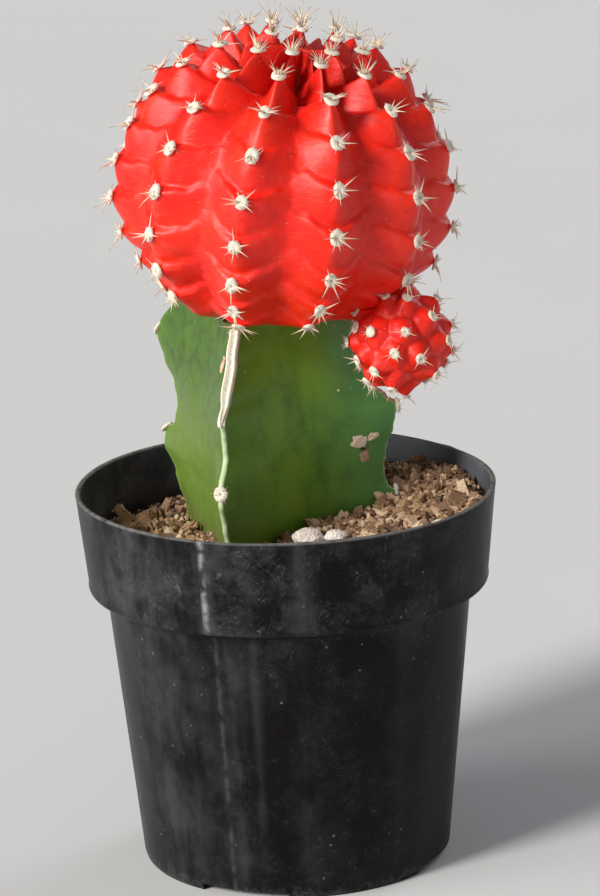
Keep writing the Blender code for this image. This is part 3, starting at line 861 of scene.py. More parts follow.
def stem_finish(settings):
    """Waxy green skin: paler crests, olive clouds, pale dots and pores, with painted light and shade
    on its faces: a sunlit left face, shade beside the front wing and a bluish sheen towards the
    right wing.
    """
    f = Finish("stem_skin", Subsurface_Weight=0.08, Subsurface_Scale=1.0 * MM, IOR=1.42,
               Subsurface_Radius=(0.6, 1.0, 0.25), Specular_IOR_Level=0.4)
    crest = f.attribute("crest")
    cloud = f.noise(9 * MM, 4.0, 0.55)
    mottle = f.noise(2.2 * MM, 4.0, 0.6)
    green = tuple(settings.green)
    deep = (green[0] * 0.42, green[1] * 0.48, green[2] * 0.45)
    olive = (green[0] * 1.35, green[1] * 1.05, green[2] * 0.85)
    base = f.mix(deep, green, f.ramp(mottle * 0.45 + cloud * 0.55, 0.24, 0.56))
    base = f.mix(base, olive, f.ramp(cloud, 0.42, 0.66) * 0.75)
    # Painted shade on the right face beside the front wing
    base = f.mix(base, deep, f.attribute("shade_side") * 0.72)
    # Painted bluish sheen and light on the right face towards the right wing
    base = f.mix(base, (0.112, 0.345, 0.120), f.attribute("blue_side") * 0.7)
    # Painted light on the sunlit left face, paler lower down
    lower = f.ramp(f.axis("Z") + cloud * (14.0 * MM), 88.0 * MM, 68.0 * MM)
    pale = f.mix((0.045, 0.087, 0.017), (0.126, 0.187, 0.034), lower)
    base = f.mix(base, pale, f.attribute("sun_side") * (0.97 - 0.2 * f.ramp(mottle, 0.62, 0.42)))
    dots = f.ramp(f.cells(2.3 * MM), 0.16, 0.06) * f.ramp(f.noise(6 * MM, 2.0), 0.42, 0.56)
    dots = dots * f.ramp(mottle, 0.42, 0.55)
    base = f.mix(base, (0.30, 0.40, 0.17), dots * 0.75)
    pores = f.ramp(f.cells(0.62 * MM), 0.26, 0.1)
    base = f.mix(base, (0.17, 0.27, 0.08), pores * 0.18)
    base = f.mix(base, (0.50, 0.62, 0.36), crest * f.ramp(f.noise(1.4 * MM, 3.0), 0.2, 0.5))
    soil = f.ramp(f.axis("Z"), 55.5 * MM, 51.0 * MM) * f.ramp(mottle, 0.4, 0.6)
    base = f.mix(base, (0.14, 0.10, 0.05), soil * 0.6)
    rough = 0.36 + mottle * 0.16 + crest * 0.12
    skin = f.bump(f.noise(0.5 * MM, 3.0), 0.03 * MM, 0.5)
    skin = f.bump(mottle, 0.22 * MM, 0.35, skin)
    return f.feed(Base_Color=base, Roughness=rough, Normal=skin)


def cork_finish():
    """Cream cork with a grey-brown hollow along its middle."""
    f = Finish("cream_cork", Roughness=0.75, Specular_IOR_Level=0.3)
    across = f.attribute("across")
    fibre = f.noise(0.4 * MM, 4.0, 0.65, stretch=(2.0, 2.0, 0.22))
    hollow = f.ramp(across, 0.42, 0.12) * f.ramp(fibre, 0.32, 0.62)
    base = f.mix((0.78, 0.74, 0.58), (0.88, 0.86, 0.74), fibre)
    base = f.mix(base, (0.24, 0.23, 0.17), hollow * 0.8)
    tint = f.attribute("tint")
    scab = f.colours(tint + fibre * 0.2 - 0.1, (0.0, (0.09, 0.045, 0.025)),
                     (0.4, (0.62, 0.40, 0.25)), (0.8, (0.98, 0.82, 0.60)))
    base = f.mix(scab, base, tint > 0.95)
    return f.feed(Base_Color=base, Normal=f.bump(fibre, 0.12 * MM, 0.8))


def flesh_finish(name, settings, deepen=1.0):
    """Waxy red skin, a little translucent and paler on crests, with a painted highlight along its
    creases and painted shade in its hollows.
    """
    f = Finish(name, Subsurface_Weight=0.16, Subsurface_Scale=1.6 * MM, IOR=1.44,
               Subsurface_Radius=(1.0, 0.12, 0.06), Coat_Roughness=0.42, Specular_IOR_Level=0.40)
    crest = f.attribute("crest")
    crease = f.attribute("crease")
    hollow = f.attribute("hollow")
    red = tuple(c * deepen for c in settings.red)
    orange = (min(1.0, red[0] * 1.1), red[1] * 2.1, red[2] * 1.2)
    crimson = (red[0] * 0.62, red[1] * 0.7, red[2] * 1.8)
    cloud = f.noise(8 * MM, 3.0, 0.5)
    mottle = f.noise(1.6 * MM, 4.0, 0.6)
    base = f.mix(red, orange, f.ramp(cloud, 0.40, 0.66))
    base = f.mix(base, crimson, f.ramp(mottle, 0.5, 0.72) * 0.4)
    base = f.mix(base, crimson, f.attribute("crown") * 0.7)
    base = f.mix(base, (0.90, 0.07, 0.04), crest * f.ramp(mottle, 0.3, 0.6) * 0.35)
    # Painted highlight along the creases
    base = f.mix(base, (0.92, 0.09, 0.05), crease * f.ramp(mottle, 0.35, 0.6) * 0.4)
    # Painted shade in the furrows, and on the side globe in the seams between tubercles
    base = f.mix(base, crimson, hollow * 0.35)
    bloom = f.ramp(f.noise(3.0 * MM, 5.0, 0.6), 0.50, 0.74)
    base = f.mix(base, (0.82, 0.13, 0.10), bloom * 0.14)
    specks = f.ramp(f.cells(1.5 * MM), 0.11, 0.04) * f.ramp(mottle, 0.45, 0.58)
    base = f.mix(base, (0.95, 0.34, 0.25), specks * 0.55)
    rough = 0.36 + bloom * 0.14 + mottle * 0.08 + hollow * 0.06
    fine = f.bump(f.noise(0.42 * MM, 3.0, 0.55), 0.035 * MM, 0.6)
    wrinkle = f.noise(1.3 * MM, 5.0, 0.62, stretch=(0.55, 0.55, 1.5), distortion=0.5)
    skin = f.bump(wrinkle, 0.26 * MM, 0.55, fine)
    coat = 0.16 + bloom * 0.14
    return f.feed(Base_Color=base, Roughness=rough, Normal=skin, Coat_Weight=coat)


def wool_finish():
    """Felted cream wool, greyer in the middle of each pad."""
    f = Finish("areole_wool", Roughness=0.95, Sheen_Weight=0.35, Sheen_Roughness=0.5,
               Subsurface_Weight=0.12, Subsurface_Scale=0.5 * MM, Specular_IOR_Level=0.2)
    middle = f.attribute("along_pad")
    fuzz = f.noise(0.16 * MM, 4.0, 0.7)
    base = f.mix((0.62, 0.52, 0.38), (0.93, 0.87, 0.74), f.ramp(fuzz, 0.32, 0.6))
    base = f.mix(base, (0.26, 0.20, 0.15), f.ramp(middle, 0.72, 0.97) * f.attribute("tone"))
    return f.feed(Base_Color=base, Normal=f.bump(fuzz, 0.14 * MM, 1.0))


def spine_finish():
    """Horn-coloured spines, cream at the base and greyer towards the tip."""
    f = Finish("horn_spine", Roughness=0.42, Subsurface_Weight=0.1, Subsurface_Scale=0.3 * MM)
    along = f.attribute("along")
    streak = f.noise(0.5 * MM, 3.0)
    base = f.colours(along + streak * 0.16 - 0.08, (0.0, (0.80, 0.62, 0.44)),
                     (0.45, (0.80, 0.68, 0.50)), (0.82, (0.50, 0.42, 0.32)),
                     (1.0, (0.16, 0.12, 0.10)))
    return f.feed(Base_Color=base)


def floor_finish():
    """Pale matt floor with a faint cloudiness."""
    f = Finish("pale_floor", Roughness=1.0, Specular_IOR_Level=0.0)
    base = f.mix((0.70, 0.695, 0.685), (0.74, 0.735, 0.725), f.noise(120 * MM, 3.0))
    return f.feed(Base_Color=base)


# ------------------------------------------------------------------ pot

def pot_rings():
    """(radius, z) from the middle of the inside floor, over the rim, to the underside."""
    corner = 0.5 * MM
    core = 0.6 * MM
    rim = 0.26 * MM
    inside = [
        (core, FLOOR_TOP_Z),
        (body_radius(FLOOR_TOP_Z) - WALL - corner, FLOOR_TOP_Z),
        (body_radius(FLOOR_TOP_Z) - WALL, FLOOR_TOP_Z + corner),
        (body_radius(BODY_TOP_Z) - WALL, BODY_TOP_Z + 0.2 * MM),
        (collar_radius(COLLAR_FOOT_Z) - WALL - corner, COLLAR_FOOT_Z + 0.4 * MM),
        (collar_radius(COLLAR_FOOT_Z) - WALL, COLLAR_FOOT_Z + 0.9 * MM),
    ]
    inside += [(collar_radius(z * MM) - WALL, z * MM) for z in (48, 51, 54, 57, 58.2)]
    middle = RIM_RADIUS - WALL / 2.0
    lip = []
    for i in range(9):
        turn = math.pi * i / 8.0
        lip.append((middle - (WALL / 2.0) * math.cos(turn), RIM_Z - rim + rim * math.sin(turn)))
    outside = [(collar_radius(z * MM), z * MM) for z in (58.2, 57, 54, 51, 48, 45.6, 45.0)]
    fillet = []
    for i in range(7):
        turn = math.pi / 2.0 * i / 6.0
        radius = COLLAR_FOOT_RADIUS - 0.75 * MM + 0.75 * MM * math.cos(turn)
        fillet.append((radius, COLLAR_FOOT_Z - 0.05 * MM - 0.75 * MM * math.sin(turn)))
    under_collar = [
        (BODY_TOP_RADIUS + 0.9 * MM, BODY_TOP_Z + 0.62 * MM),
        (BODY_TOP_RADIUS + 0.35 * MM, BODY_TOP_Z + 0.35 * MM),
        (BODY_TOP_RADIUS + 0.1 * MM, BODY_TOP_Z - 0.05 * MM),
        (body_radius(BODY_TOP_Z - 0.6 * MM), BODY_TOP_Z - 0.6 * MM),
    ]
    wall = [(body_radius(z * MM), z * MM) for z in (39, 34, 29, 24, 19, 14, 9, 5, 2.5, 1.2)]
    foot = [
        (body_radius(0.7 * MM) - 0.08 * MM, 0.7 * MM),
        (BASE_RADIUS - 0.18 * MM, 0.25 * MM),
        (BASE_RADIUS - 0.4 * MM, 0.0),
        (BASE_RADIUS - 0.4 * MM - FOOT_WIDTH, 0.0),
        (BASE_RADIUS - 0.2 * MM - FOOT_WIDTH, FLOOR_UNDER_Z),
        (core, FLOOR_UNDER_Z),
    ]
    return inside + lip + outside + fillet + under_collar + wall + foot


def turn_rings(name, rings, segments):
    """A turned solid: a circle carried from ring to ring by extruding and resizing."""
    radius, z = rings[0]
    obj = primitive(bpy.ops.mesh.primitive_circle_add, name, vertices=segments, radius=radius,
                    location=(0.0, 0.0, z), fill_type="NOTHING")
    set_place(obj)
    edit(obj)
    bpy.ops.mesh.edge_face_add()
    for next_radius, next_z in rings[1:]:
        bpy.ops.mesh.extrude_region_move(TRANSFORM_OT_translate={"value": (0, 0, next_z - z)})
        scale = next_radius / radius
        bpy.ops.transform.resize(value=(scale, scale, 1.0), center_override=(0, 0, next_z))
        radius, z = next_radius, next_z
    bpy.ops.mesh.select_all(action="SELECT")
    bpy.ops.mesh.normals_make_consistent(inside=False)
    bpy.ops.object.mode_set(mode="OBJECT")
    return obj


def pot_cutters():
    """Boxes for the notches in the foot and rods for the drain holes."""
    tools = []
    for i in range(NOTCH_COUNT):
        azimuth = NOTCH_AZIMUTH + 360.0 * i / NOTCH_COUNT
        notch = primitive(bpy.ops.mesh.primitive_cube_add, "notch", size=1.0,
                          location=polar(BASE_RADIUS - 1.0 * MM, azimuth),
                          rotation=(0.0, 0.0, math.radians(azimuth)),
                          scale=(NOTCH_WIDTH, 6.0 * MM, 2.0 * NOTCH_HEIGHT))
        set_place(notch)
        hole = primitive(bpy.ops.mesh.primitive_cylinder_add, "drain", vertices=32,
                         radius=HOLE_RADIUS, depth=8.0 * MM,
                         location=polar(HOLE_RING_RADIUS, azimuth + 180.0 / NOTCH_COUNT,
                                        FLOOR_UNDER_Z))
        set_place(hole)
        tools += [notch, hole]
    return tools


def settle_pot(points):
    """Moulding marks: the parting line, a slightly uneven rim and flow waves in the wall."""
    x, y, z = points.T
    azimuth = np.degrees(np.arctan2(x, -y))
    radius = np.hypot(x, y)
    outer = radius > np.where(z > COLLAR_FOOT_Z, collar_radius(z), body_radius(z)) - WALL * 0.6
    grow = np.zeros(len(points))
    for line in (PARTING_AZIMUTH, PARTING_AZIMUTH + 180.0):
        away = np.abs((azimuth - line + 180.0) % 360.0 - 180.0)
        grow = grow + 0.09 * MM * np.exp(-(away / 1.3) ** 2) * outer * (z > 2.0 * MM)
    wave = np.sin(np.radians(azimuth * 2.0 + 40.0)) + 0.6 * np.sin(np.radians(azimuth * 3.0 - 15.0))
    rim = smooth(45.0 * MM, RIM_Z, z)
    grow = grow + 0.11 * MM * wave * rim
    grow = grow - 0.13 * MM * (rim > 0)
    nick = np.exp(-((azimuth - 126.0) / 2.4) ** 2)
    lift = 0.08 * MM * np.sin(np.radians(azimuth * 5.0)) * smooth(57.0 * MM, RIM_Z, z)
    lift = lift - 0.08 * MM * smooth(57.0 * MM, RIM_Z, z) + 0.12 * MM * nick * (z > 58.0 * MM)
    scale = (radius + grow) / np.maximum(radius, 1e-9)
    return np.column_stack([x * scale, y * scale, np.minimum(z + lift, RIM_Z)])


def wear_and_highlight_marks(points):
    """Painted highlights: along the parting line, where they are partly wear, and in pale vertical
    streaks round the pot.
    """
    x, y, z = points.T
    azimuth = np.degrees(np.arctan2(x, -y))
    collar = z > COLLAR_FOOT_Z + 0.3 * MM
    outside = np.hypot(x, y) > np.where(collar, collar_radius(z), body_radius(z)) - WALL * 0.5
    marks = []
    for table in (SEAM_WEAR_AND_HIGHLIGHT_MARKS, HIGHLIGHT_STREAK_MARKS):
        mark = np.zeros(len(points))
        for line, width, on_collar, on_body in table:
            away = np.abs((azimuth - line + 180.0) % 360.0 - 180.0)
            amount = np.where(collar, on_collar, on_body)
            mark = np.maximum(mark, amount * np.clip(1.0 - away / width, 0.0, 1.0))
        marks.append(mark * outside)
    return marks


class MOONCACTUS_OT_pot(bpy.types.Operator):
    """Make the moulded nursery pot"""
    bl_idname = "mooncactus.pot"
    bl_label = "Nursery pot"

    def execute(self, context):
        settings = context.scene.mooncactus_pot
        pot = turn_rings("nursery_pot", pot_rings(), settings.segments)
        cut_away(pot, pot_cutters())
        points = points_of(pot.data)
        set_points(pot.data, settle_pot(points))
        # Painted highlights on the outside, partly wear along the parting line
        seam, streaks = wear_and_highlight_marks(points)
        add_values(pot.data, "seam", seam)
        add_values(pot.data, "streaks", streaks)
        radius = np.hypot(points[:, 0], points[:, 1])
        inner = (radius < collar_radius(points[:, 2]) - WALL * 0.9) & (points[:, 2] > 46.0 * MM)
        # Painted light on the inner wall, stronger towards +X where the light falls
        painted_light_side = 0.35 + 0.65 * smooth(-5.0 * MM, 18.0 * MM, points[:, 0])
        inner = inner * smooth(46.0 * MM, 54.0 * MM, points[:, 2]) * painted_light_side
        add_values(pot.data, "inner", inner)
        outward(pot)
        shade(pot, 32.0)
        complete(pot, plastic_finish(settings), "pot", "pot")
        return {"FINISHED"}


# ------------------------------------------------------------------ potting mix

def splinter(name, seed, taper, bend, cuts):
    """A chip of bark one unit long: a subdivided cube, tapered, bent and roughened."""
    chip = primitive(bpy.ops.mesh.primitive_cube_add, name, size=1.0)
    edit(chip)
    bpy.ops.mesh.subdivide(number_cuts=cuts)
    bpy.ops.transform.tosphere(value=0.25)
    bpy.ops.object.mode_set(mode="OBJECT")
    points = points_of(chip.data)
    rough = np.column_stack([lumps(points, 0.5, seed + i * 5.0) for i in range(3)])
    fine = np.column_stack([lumps(points, 0.21, seed + i * 3.0) for i in range(3)])
    points = points + rough * np.array([0.20, 0.30, 0.36]) + fine * 0.24
    narrow = 1.0 - taper * (points[:, 0] + 0.5)
    points[:, 1] *= narrow
    points[:, 2] *= 0.5 + 0.5 * narrow
    points[:, 2] += bend * points[:, 0] ** 2
    set_points(chip.data, points)
    return chip


def crumb(name, seed):
    """A small rounded crumb one unit across."""
    grain = primitive(bpy.ops.mesh.primitive_ico_sphere_add, name, subdivisions=1, radius=0.5)
    points = points_of(grain.data)
    points = points * (1.0 + 0.35 * lumps(points, 0.5, seed))[:, None]
    set_points(grain.data, points * np.array([1.0, 0.8, 0.7]))
    return grain


def fibre(name, seed):
    """A bent thread one unit long."""
    thread = primitive(bpy.ops.mesh.primitive_cylinder_add, name, vertices=4, radius=0.5, depth=1.0,
                       end_fill_type="NGON", rotation=(0.0, math.pi / 2.0, 0.0))
    set_place(thread)
    cut_runs(thread, axis=0, cuts=6)
    points = points_of(thread.data)
    points[:, 1:] *= 0.03
    points[:, 1] += 0.13 * np.sin(points[:, 0] * (3.0 + seed)) + 0.05 * np.sin(points[:, 0] * 9.0)
    points[:, 2] += 0.09 * np.cos(points[:, 0] * (4.0 + seed)) - 0.09
    set_points(thread.data, points)
    return thread


def stem_clearance(x, y, ring):
    """Distance from the stem's outline where it leaves the mix, negative inside it."""
    gaps = np.hypot(ring[:, 0] - x, ring[:, 1] - y)
    nearest = ring[gaps.argmin()]
    inside = math.hypot(x - STEM_X, y) < math.hypot(nearest[0] - STEM_X, nearest[1])
    return -gaps.min() if inside else gaps.min()


def scatter_places(rng, count, size_of, lift_of, lean):
    """Matrices that lay pieces on the mix with a random turn, lean and size, and their tones."""
    places = []
    tones = []
    angles = np.arange(0.0, 360.0, 2.0)
    ring, _ = stem_section(angles, np.full(len(angles), MIX_LEVEL))
    pebbles = []
    for low, high in map(solid_box, PEBBLE_NODES):
        pebbles.append(((low.x + high.x) / 2.0, (low.y + high.y) / 2.0, (high.x - low.x) / 2.0))
    while len(places) < count:
        length, width, thick = size_of(rng)
        azimuth = rng.uniform(0.0, 360.0)
        wall = collar_radius(MIX_LEVEL) - WALL - length * 0.42
        radius = math.sqrt(rng.random()) * wall
        spot = polar(radius, azimuth)
        if stem_clearance(spot.x, spot.y, ring) < length * 0.36:
            continue
        if any(math.hypot(spot.x - px, spot.y + 0.35 * length - py) < reach + length * 0.3
               for px, py, reach in pebbles):
            continue
        height = mix_height(spot.x, spot.y) + lift_of(rng) + thick * 0.3
        height -= 0.9 * MM * float(smooth(8.0 * MM, 22.0 * MM, spot.y))
        turn = Matrix.Rotation(rng.uniform(0.0, 2.0 * math.pi), 4, "Z")
        tilt = Matrix.Rotation(rng.gauss(0.0, lean), 4, "Y")
        roll = Matrix.Rotation(rng.gauss(0.0, lean * 1.3), 4, "X")
        size = Matrix.Diagonal((length, width, thick, 1.0))
        places.append(Matrix.Translation((spot.x, spot.y, height)) @ turn @ tilt @ roll @ size)
        tones.append(rng.random())
    return places, tones


def chip_size(rng):
    """Length, width and thickness of one bark chip."""
    length = (1.4 + 2.5 * rng.random() ** 1.6) * (1.4 if rng.random() < 0.08 else 1.0) * MM
    return length, length * rng.uniform(0.26, 0.62), length * rng.uniform(0.18, 0.42)


def keep_inside(obj):
    """Press points that would lie in the pot's wall back to its inner side."""
    points = points_of(obj.data)
    radius = np.hypot(points[:, 0], points[:, 1])
    limit = collar_radius(points[:, 2]) - WALL - 0.2 * MM
    points[:, :2] *= np.minimum(1.0, limit / radius)[:, None]
    set_points(obj.data, points)


def stamp_mixture(name, templates, places, tones):
    """Stamp the templates in turn over the places, join them and keep them in the pot."""
    parts = []
    for i, template in enumerate(templates):
        parts.append(stamp(f"{name}_{i}", template, places[i::len(templates)],
                           tones[i::len(templates)]))
    for template in templates:
        bpy.data.objects.remove(template)
    mixture = joined(name, parts)
    keep_inside(mixture)
    return mixture


class MOONCACTUS_OT_mix(bpy.types.Operator):
    """Finish the potting mix and lay bark chips, crumbs and fibres on it"""
    bl_idname = "mooncactus.mix"
    bl_label = "Potting mix and bark"

    def execute(self, context):
        settings = context.scene.mooncactus_mix
        rng = random.Random(settings.seed)
        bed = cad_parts["potting_mix"]
        bed.data.materials.clear()
        bed.data.materials.append(mix_finish().material)
        bark = bark_finish("dry_bark", (0.080, 0.043, 0.024), (0.52, 0.322, 0.182),
                           (0.92, 0.74, 0.52))
        shapes = [splinter(f"splinter_{i}", i * 7.3, 0.25 + 0.12 * (i % 3), 0.25 - 0.2 * (i % 3),
                           2 if i < 2 else 1) for i in range(6)]
        places, tones = scatter_places(rng, settings.chips, chip_size,
                                       lambda r: r.gauss(-0.3, 0.42) * MM, 0.55)
        chips = stamp_mixture("bark_chips", shapes, places, tones)
        shade(chips, 45.0)
        complete(chips, bark, "bark", *CHIP_NODES)
        grains = [crumb(f"crumb_{i}", i * 3.1) for i in range(3)]
        places, tones = scatter_places(rng, settings.crumbs,
                                       lambda r: (r.uniform(0.5, 1.4) * MM,) * 3,
                                       lambda r: r.uniform(-0.1, 0.8) * MM, 1.0)
        complete(stamp_mixture("bark_crumbs", grains, places, tones), bark, "bark")
        threads = [fibre(f"thread_{i}", i * 1.3) for i in range(3)]
        places, tones = scatter_places(
            rng, settings.fibres, lambda r: (r.uniform(4.0, 9.0) * MM, r.uniform(4.0, 8.0) * MM,
                                             r.uniform(4.0, 7.0) * MM),
            lambda r: r.uniform(-1.5, -0.7) * MM, 0.12)
        strands = stamp_mixture("coir_fibres", threads, places, tones)
        shade(strands)
        tan = bark_finish("coir", (0.10, 0.055, 0.03), (0.34, 0.22, 0.12), (0.60, 0.45, 0.29))
        complete(strands, tan, "bark")
        return {"FINISHED"}


class MOONCACTUS_OT_pumice(bpy.types.Operator):
    """Make the pale pumice pebbles where the solids have them"""
    bl_idname = "mooncactus.pumice"
    bl_label = "Pumice pebbles"

    def execute(self, context):
        parts = []
        for i, node in enumerate(PEBBLE_NODES):
            low, high = solid_box(node)
            size = high - low
            stone = primitive(bpy.ops.mesh.primitive_ico_sphere_add, f"stone_{i}",
                              subdivisions=4, radius=0.5)
            points = points_of(stone.data)
            swell = 1.0 + 0.20 * lumps(points, 0.42, i * 4.0) + 0.07 * lumps(points, 0.13, i * 9.0)
            points = points * swell[:, None]
            stretch = np.array([size.x * 1.22, size.y * 0.95, size.z * 0.98])
            set_points(stone.data, points * stretch + np.array((low + high) / 2.0)
                       - np.array([0.0, 0.0, 0.25 * MM]))
            parts.append(stone)
        stones = joined("pumice_pebbles", parts)
        shade(stones)
        complete(stones, pumice_finish(), "pumice", *PEBBLE_NODES)
        return {"FINISHED"}


# ------------------------------------------------------------------ stem

def winged_stem():
    """A cylinder with a hundred rings of points, moved to the winged outline."""
    stem = primitive(bpy.ops.mesh.primitive_cylinder_add, "winged_stem", vertices=252,
                     radius=MM, depth=1.0, end_fill_type="NGON", location=(0.0, 0.0, 0.5))
    set_place(stem)
    cut_runs(stem, axis=2, cuts=100)
    points = points_of(stem.data)
    crowding = 1.55  # the rings stand closer towards the top, where the outline is busier
    z = STEM_FOOT_Z + (STEM_TOP_Z - STEM_FOOT_Z) * (1.0 - (1.0 - points[:, 2]) ** crowding)
    angle = np.degrees(np.arctan2(points[:, 0], -points[:, 1])) % 360.0
    skin, crest = stem_section(angle, z)
    axis = np.array([STEM_X, 0.0])
    flat = skin[:, :2] - axis
    reach = np.linalg.norm(flat, axis=1)
    swell = 0.22 * lumps(skin, 7.0 * MM, 2.0) + 0.07 * lumps(skin, 2.2 * MM, 6.0)
    serration = 0.10 * np.sin(z / MM * 3.1) * crest * (z < 73.5 * MM)
    grow = (swell * (1.0 - 0.6 * crest) + serration) * MM
    grow = np.where(z > STEM_TOP_Z - 0.4 * MM, np.minimum(grow, 0.0), grow)
    skin[:, :2] = axis + flat * (1.0 + grow / reach)[:, None]
    set_points(stem.data, skin)
    add_values(stem.data, "crest", crest)
    share = (angle % 120.0) / 120.0
    right = angle < 120.0
    # Masks for the painted shade, sun and sheen on the faces
    add_values(stem.data, "shade_side", np.where(right, 1.0 - smooth(0.0, 0.45, share), 0.0))
    add_values(stem.data, "sun_side", smooth(230.0, 262.0, angle) * smooth(0.0, 0.1, 1.0 - share))
    add_values(stem.data, "blue_side", np.where(right, smooth(0.5, 0.95, share), 0.0))
    return stem


def crest_frame(wing, z):
    """Point on a wing's crest with its outward and sideways directions."""
    azimuth = WING_AZIMUTHS[wing]
    radius = float(wing_radius(wing, z))
    slope = float(wing_radius(wing, z + 0.3 * MM) - wing_radius(wing, z - 0.3 * MM)) / (0.6 * MM)
    point = polar(radius, azimuth, z) + Vector((STEM_X, 0.0, 0.0))
    flat = polar(1.0, azimuth)
    out = Vector((flat.x, flat.y, -slope)).normalized()
    side = polar(1.0, azimuth + 90.0)
    return point, out, side


def cork_strip(name, wing, low, high, half_width, tint):
    """Cork healed over a shaved wing: a long grid with raised lips, thickened inwards."""
    rows, columns = 90, 13
    strip = primitive(bpy.ops.mesh.primitive_grid_add, name, x_subdivisions=columns - 1,
                      y_subdivisions=rows - 1, size=2.0)
    points = points_of(strip.data)
    placed = np.empty_like(points)
    across = points[:, 0].copy()
    for i, (s, t, _) in enumerate(points):
        share = (t + 1.0) / 2.0
        z = low + (high - low) * share
        point, out, side = crest_frame(wing, z)
        width = half_width * min(1.0, 0.04 + share / 0.36) ** 0.8 * (1.0 - 0.12 * share)
        width *= 1.0 + 0.07 * noise.noise(Vector((z * 700.0, 0.0, wing)))
        lip = math.exp(-((abs(s) - 0.66) / 0.24) ** 2)
        rise = 0.20 * lip - 0.14 * math.exp(-(s / 0.34) ** 2) - 0.55 * float(abs(s) > 0.97)
        rise += 0.035 * noise.noise(Vector((s * 2.0, z * 1500.0, 3.0)))
        placed[i] = point + side * (s * width) + out * ((rise + 0.10) * MM)
    set_points(strip.data, placed)
    add_values(strip.data, "across", np.abs(across))
    add_values(strip.data, "tint", np.full(len(across), tint))
    shell = strip.modifiers.new("Thickness", "SOLIDIFY")
    shell.thickness = 0.5 * MM
    shell.offset = -1.0
    apply_all(strip)
    shade(strip)
    return strip


def face_scar(name, where, normal, width, height, seed, tint):
    """A small dry scab on a face of the stem."""
    scab = primitive(bpy.ops.mesh.primitive_uv_sphere_add, name, segments=36, ring_count=20,
                     radius=0.5)
    points = points_of(scab.data)
    ragged = 0.55 * lumps(points * np.array([1.0, 1.0, 0.3]), 0.34, seed)
    ragged = ragged + 0.25 * lumps(points, 0.12, seed + 3.0)
    points = points * (1.0 + ragged)[:, None]
    turn = normal.to_track_quat("Z", "Y").to_matrix()
    size = Matrix.Diagonal((width, height, 0.42 * MM))
    placed = points @ np.array(turn @ size).T + np.array(where)
    set_points(scab.data, placed)
    add_values(scab.data, "across", np.ones(len(points)))
    add_values(scab.data, "tint", np.full(len(points), tint))
    return scab


def face_point(share, z):
    """Point and outward normal on the stem, this many faces round from the front wing."""
    angle = 120.0 * share
    point = stem_point(angle, z)
    beside = stem_point(angle + 1.0, z) - stem_point(angle - 1.0, z)
    above = stem_point(angle, z + 0.5 * MM) - stem_point(angle, z - 0.5 * MM)
    return point, beside.cross(above).normalized()


class MOONCACTUS_OT_stem(bpy.types.Operator):
    """Make the winged green stem with its cork and scars"""
    bl_idname = "mooncactus.stem"
    bl_label = "Winged stem"

    def execute(self, context):
        settings = context.scene.mooncactus_plant
        stem = winged_stem()
        outward(stem)
        shade(stem, 40.0)
        complete(stem, stem_finish(settings), "stem", "rootstock")
        cork = cork_finish()
        strips = [cork_strip("front_strip", 0, 73.6 * MM, STEM_TOP_Z - 0.1 * MM, 0.92 * MM, 1.0),
                  # The side strip's dark tint is painted shade
                  cork_strip("side_strip", 1, 69.6 * MM, STEM_TOP_Z - 0.1 * MM, 0.75 * MM, 0.25)]
        for share, z, width, height, seed, tint in SCABS:
            point, normal = face_point(share, z * MM)
            strips.append(face_scar(f"scab_{seed:.0f}", point, normal, width * MM, height * MM,
                                    seed, tint))
        complete(joined("cork_strips", strips), cork, "stem")
        return {"FINISHED"}


# ------------------------------------------------------------------ wool and spines

def wool_pad():
    """A felted pad one unit wide: a flattened ball with a dimple."""
    pad = primitive(bpy.ops.mesh.primitive_uv_sphere_add, "pad", segments=16, ring_count=10,
                    radius=0.5)
    points = points_of(pad.data)
    points = points * (1.0 + 0.16 * lumps(points, 0.2, 4.0))[:, None]
    across = np.hypot(points[:, 0], points[:, 1]) / 0.5
    top = points[:, 2] > 0.0
    points[:, 2] *= np.where(top, 0.72, 0.35)
    points[:, 2] -= 0.24 * np.exp(-(across / 0.34) ** 2) * top
    set_points(pad.data, points)
    middle = np.where(top, np.clip(1.0 - across, 0.0, 1.0), 0.0)
    add_values(pad.data, "along_pad", middle)
    return pad


def spine_shape():
    """A straight needle one unit long that lies along +X."""
    needle = primitive(bpy.ops.mesh.primitive_cone_add, "needle", vertices=5, radius1=1.0,
                       radius2=0.16, depth=1.0, end_fill_type="TRIFAN",
                       location=(0.0, 0.0, 0.5))
    set_place(needle)
    cut_runs(needle, axis=2, cuts=3)
    points = points_of(needle.data)
    along = np.clip(points[:, 2], 0.0, 1.0)
    bent = np.column_stack([along, points[:, 0], points[:, 1]])
    set_points(needle.data, bent)
    add_values(needle.data, "along", along)
    return needle


def needle_place(root, direction, bend_to, length, thickness, rng):
    """Matrix that lays the needle from root along a direction."""
    x = direction.normalized()
    y = x.cross(bend_to)
    y = y.normalized() if y.length > 1e-6 else x.orthogonal().normalized()
    z = x.cross(y)
    width = thickness * rng.uniform(0.85, 1.2)
    return Matrix((
        (x.x * length, y.x * width, z.x * width, root.x),
        (x.y * length, y.y * width, z.y * width, root.y),
        (x.z * length, y.z * width, z.z * width, root.z),
        (0.0, 0.0, 0.0, 1.0),
    ))


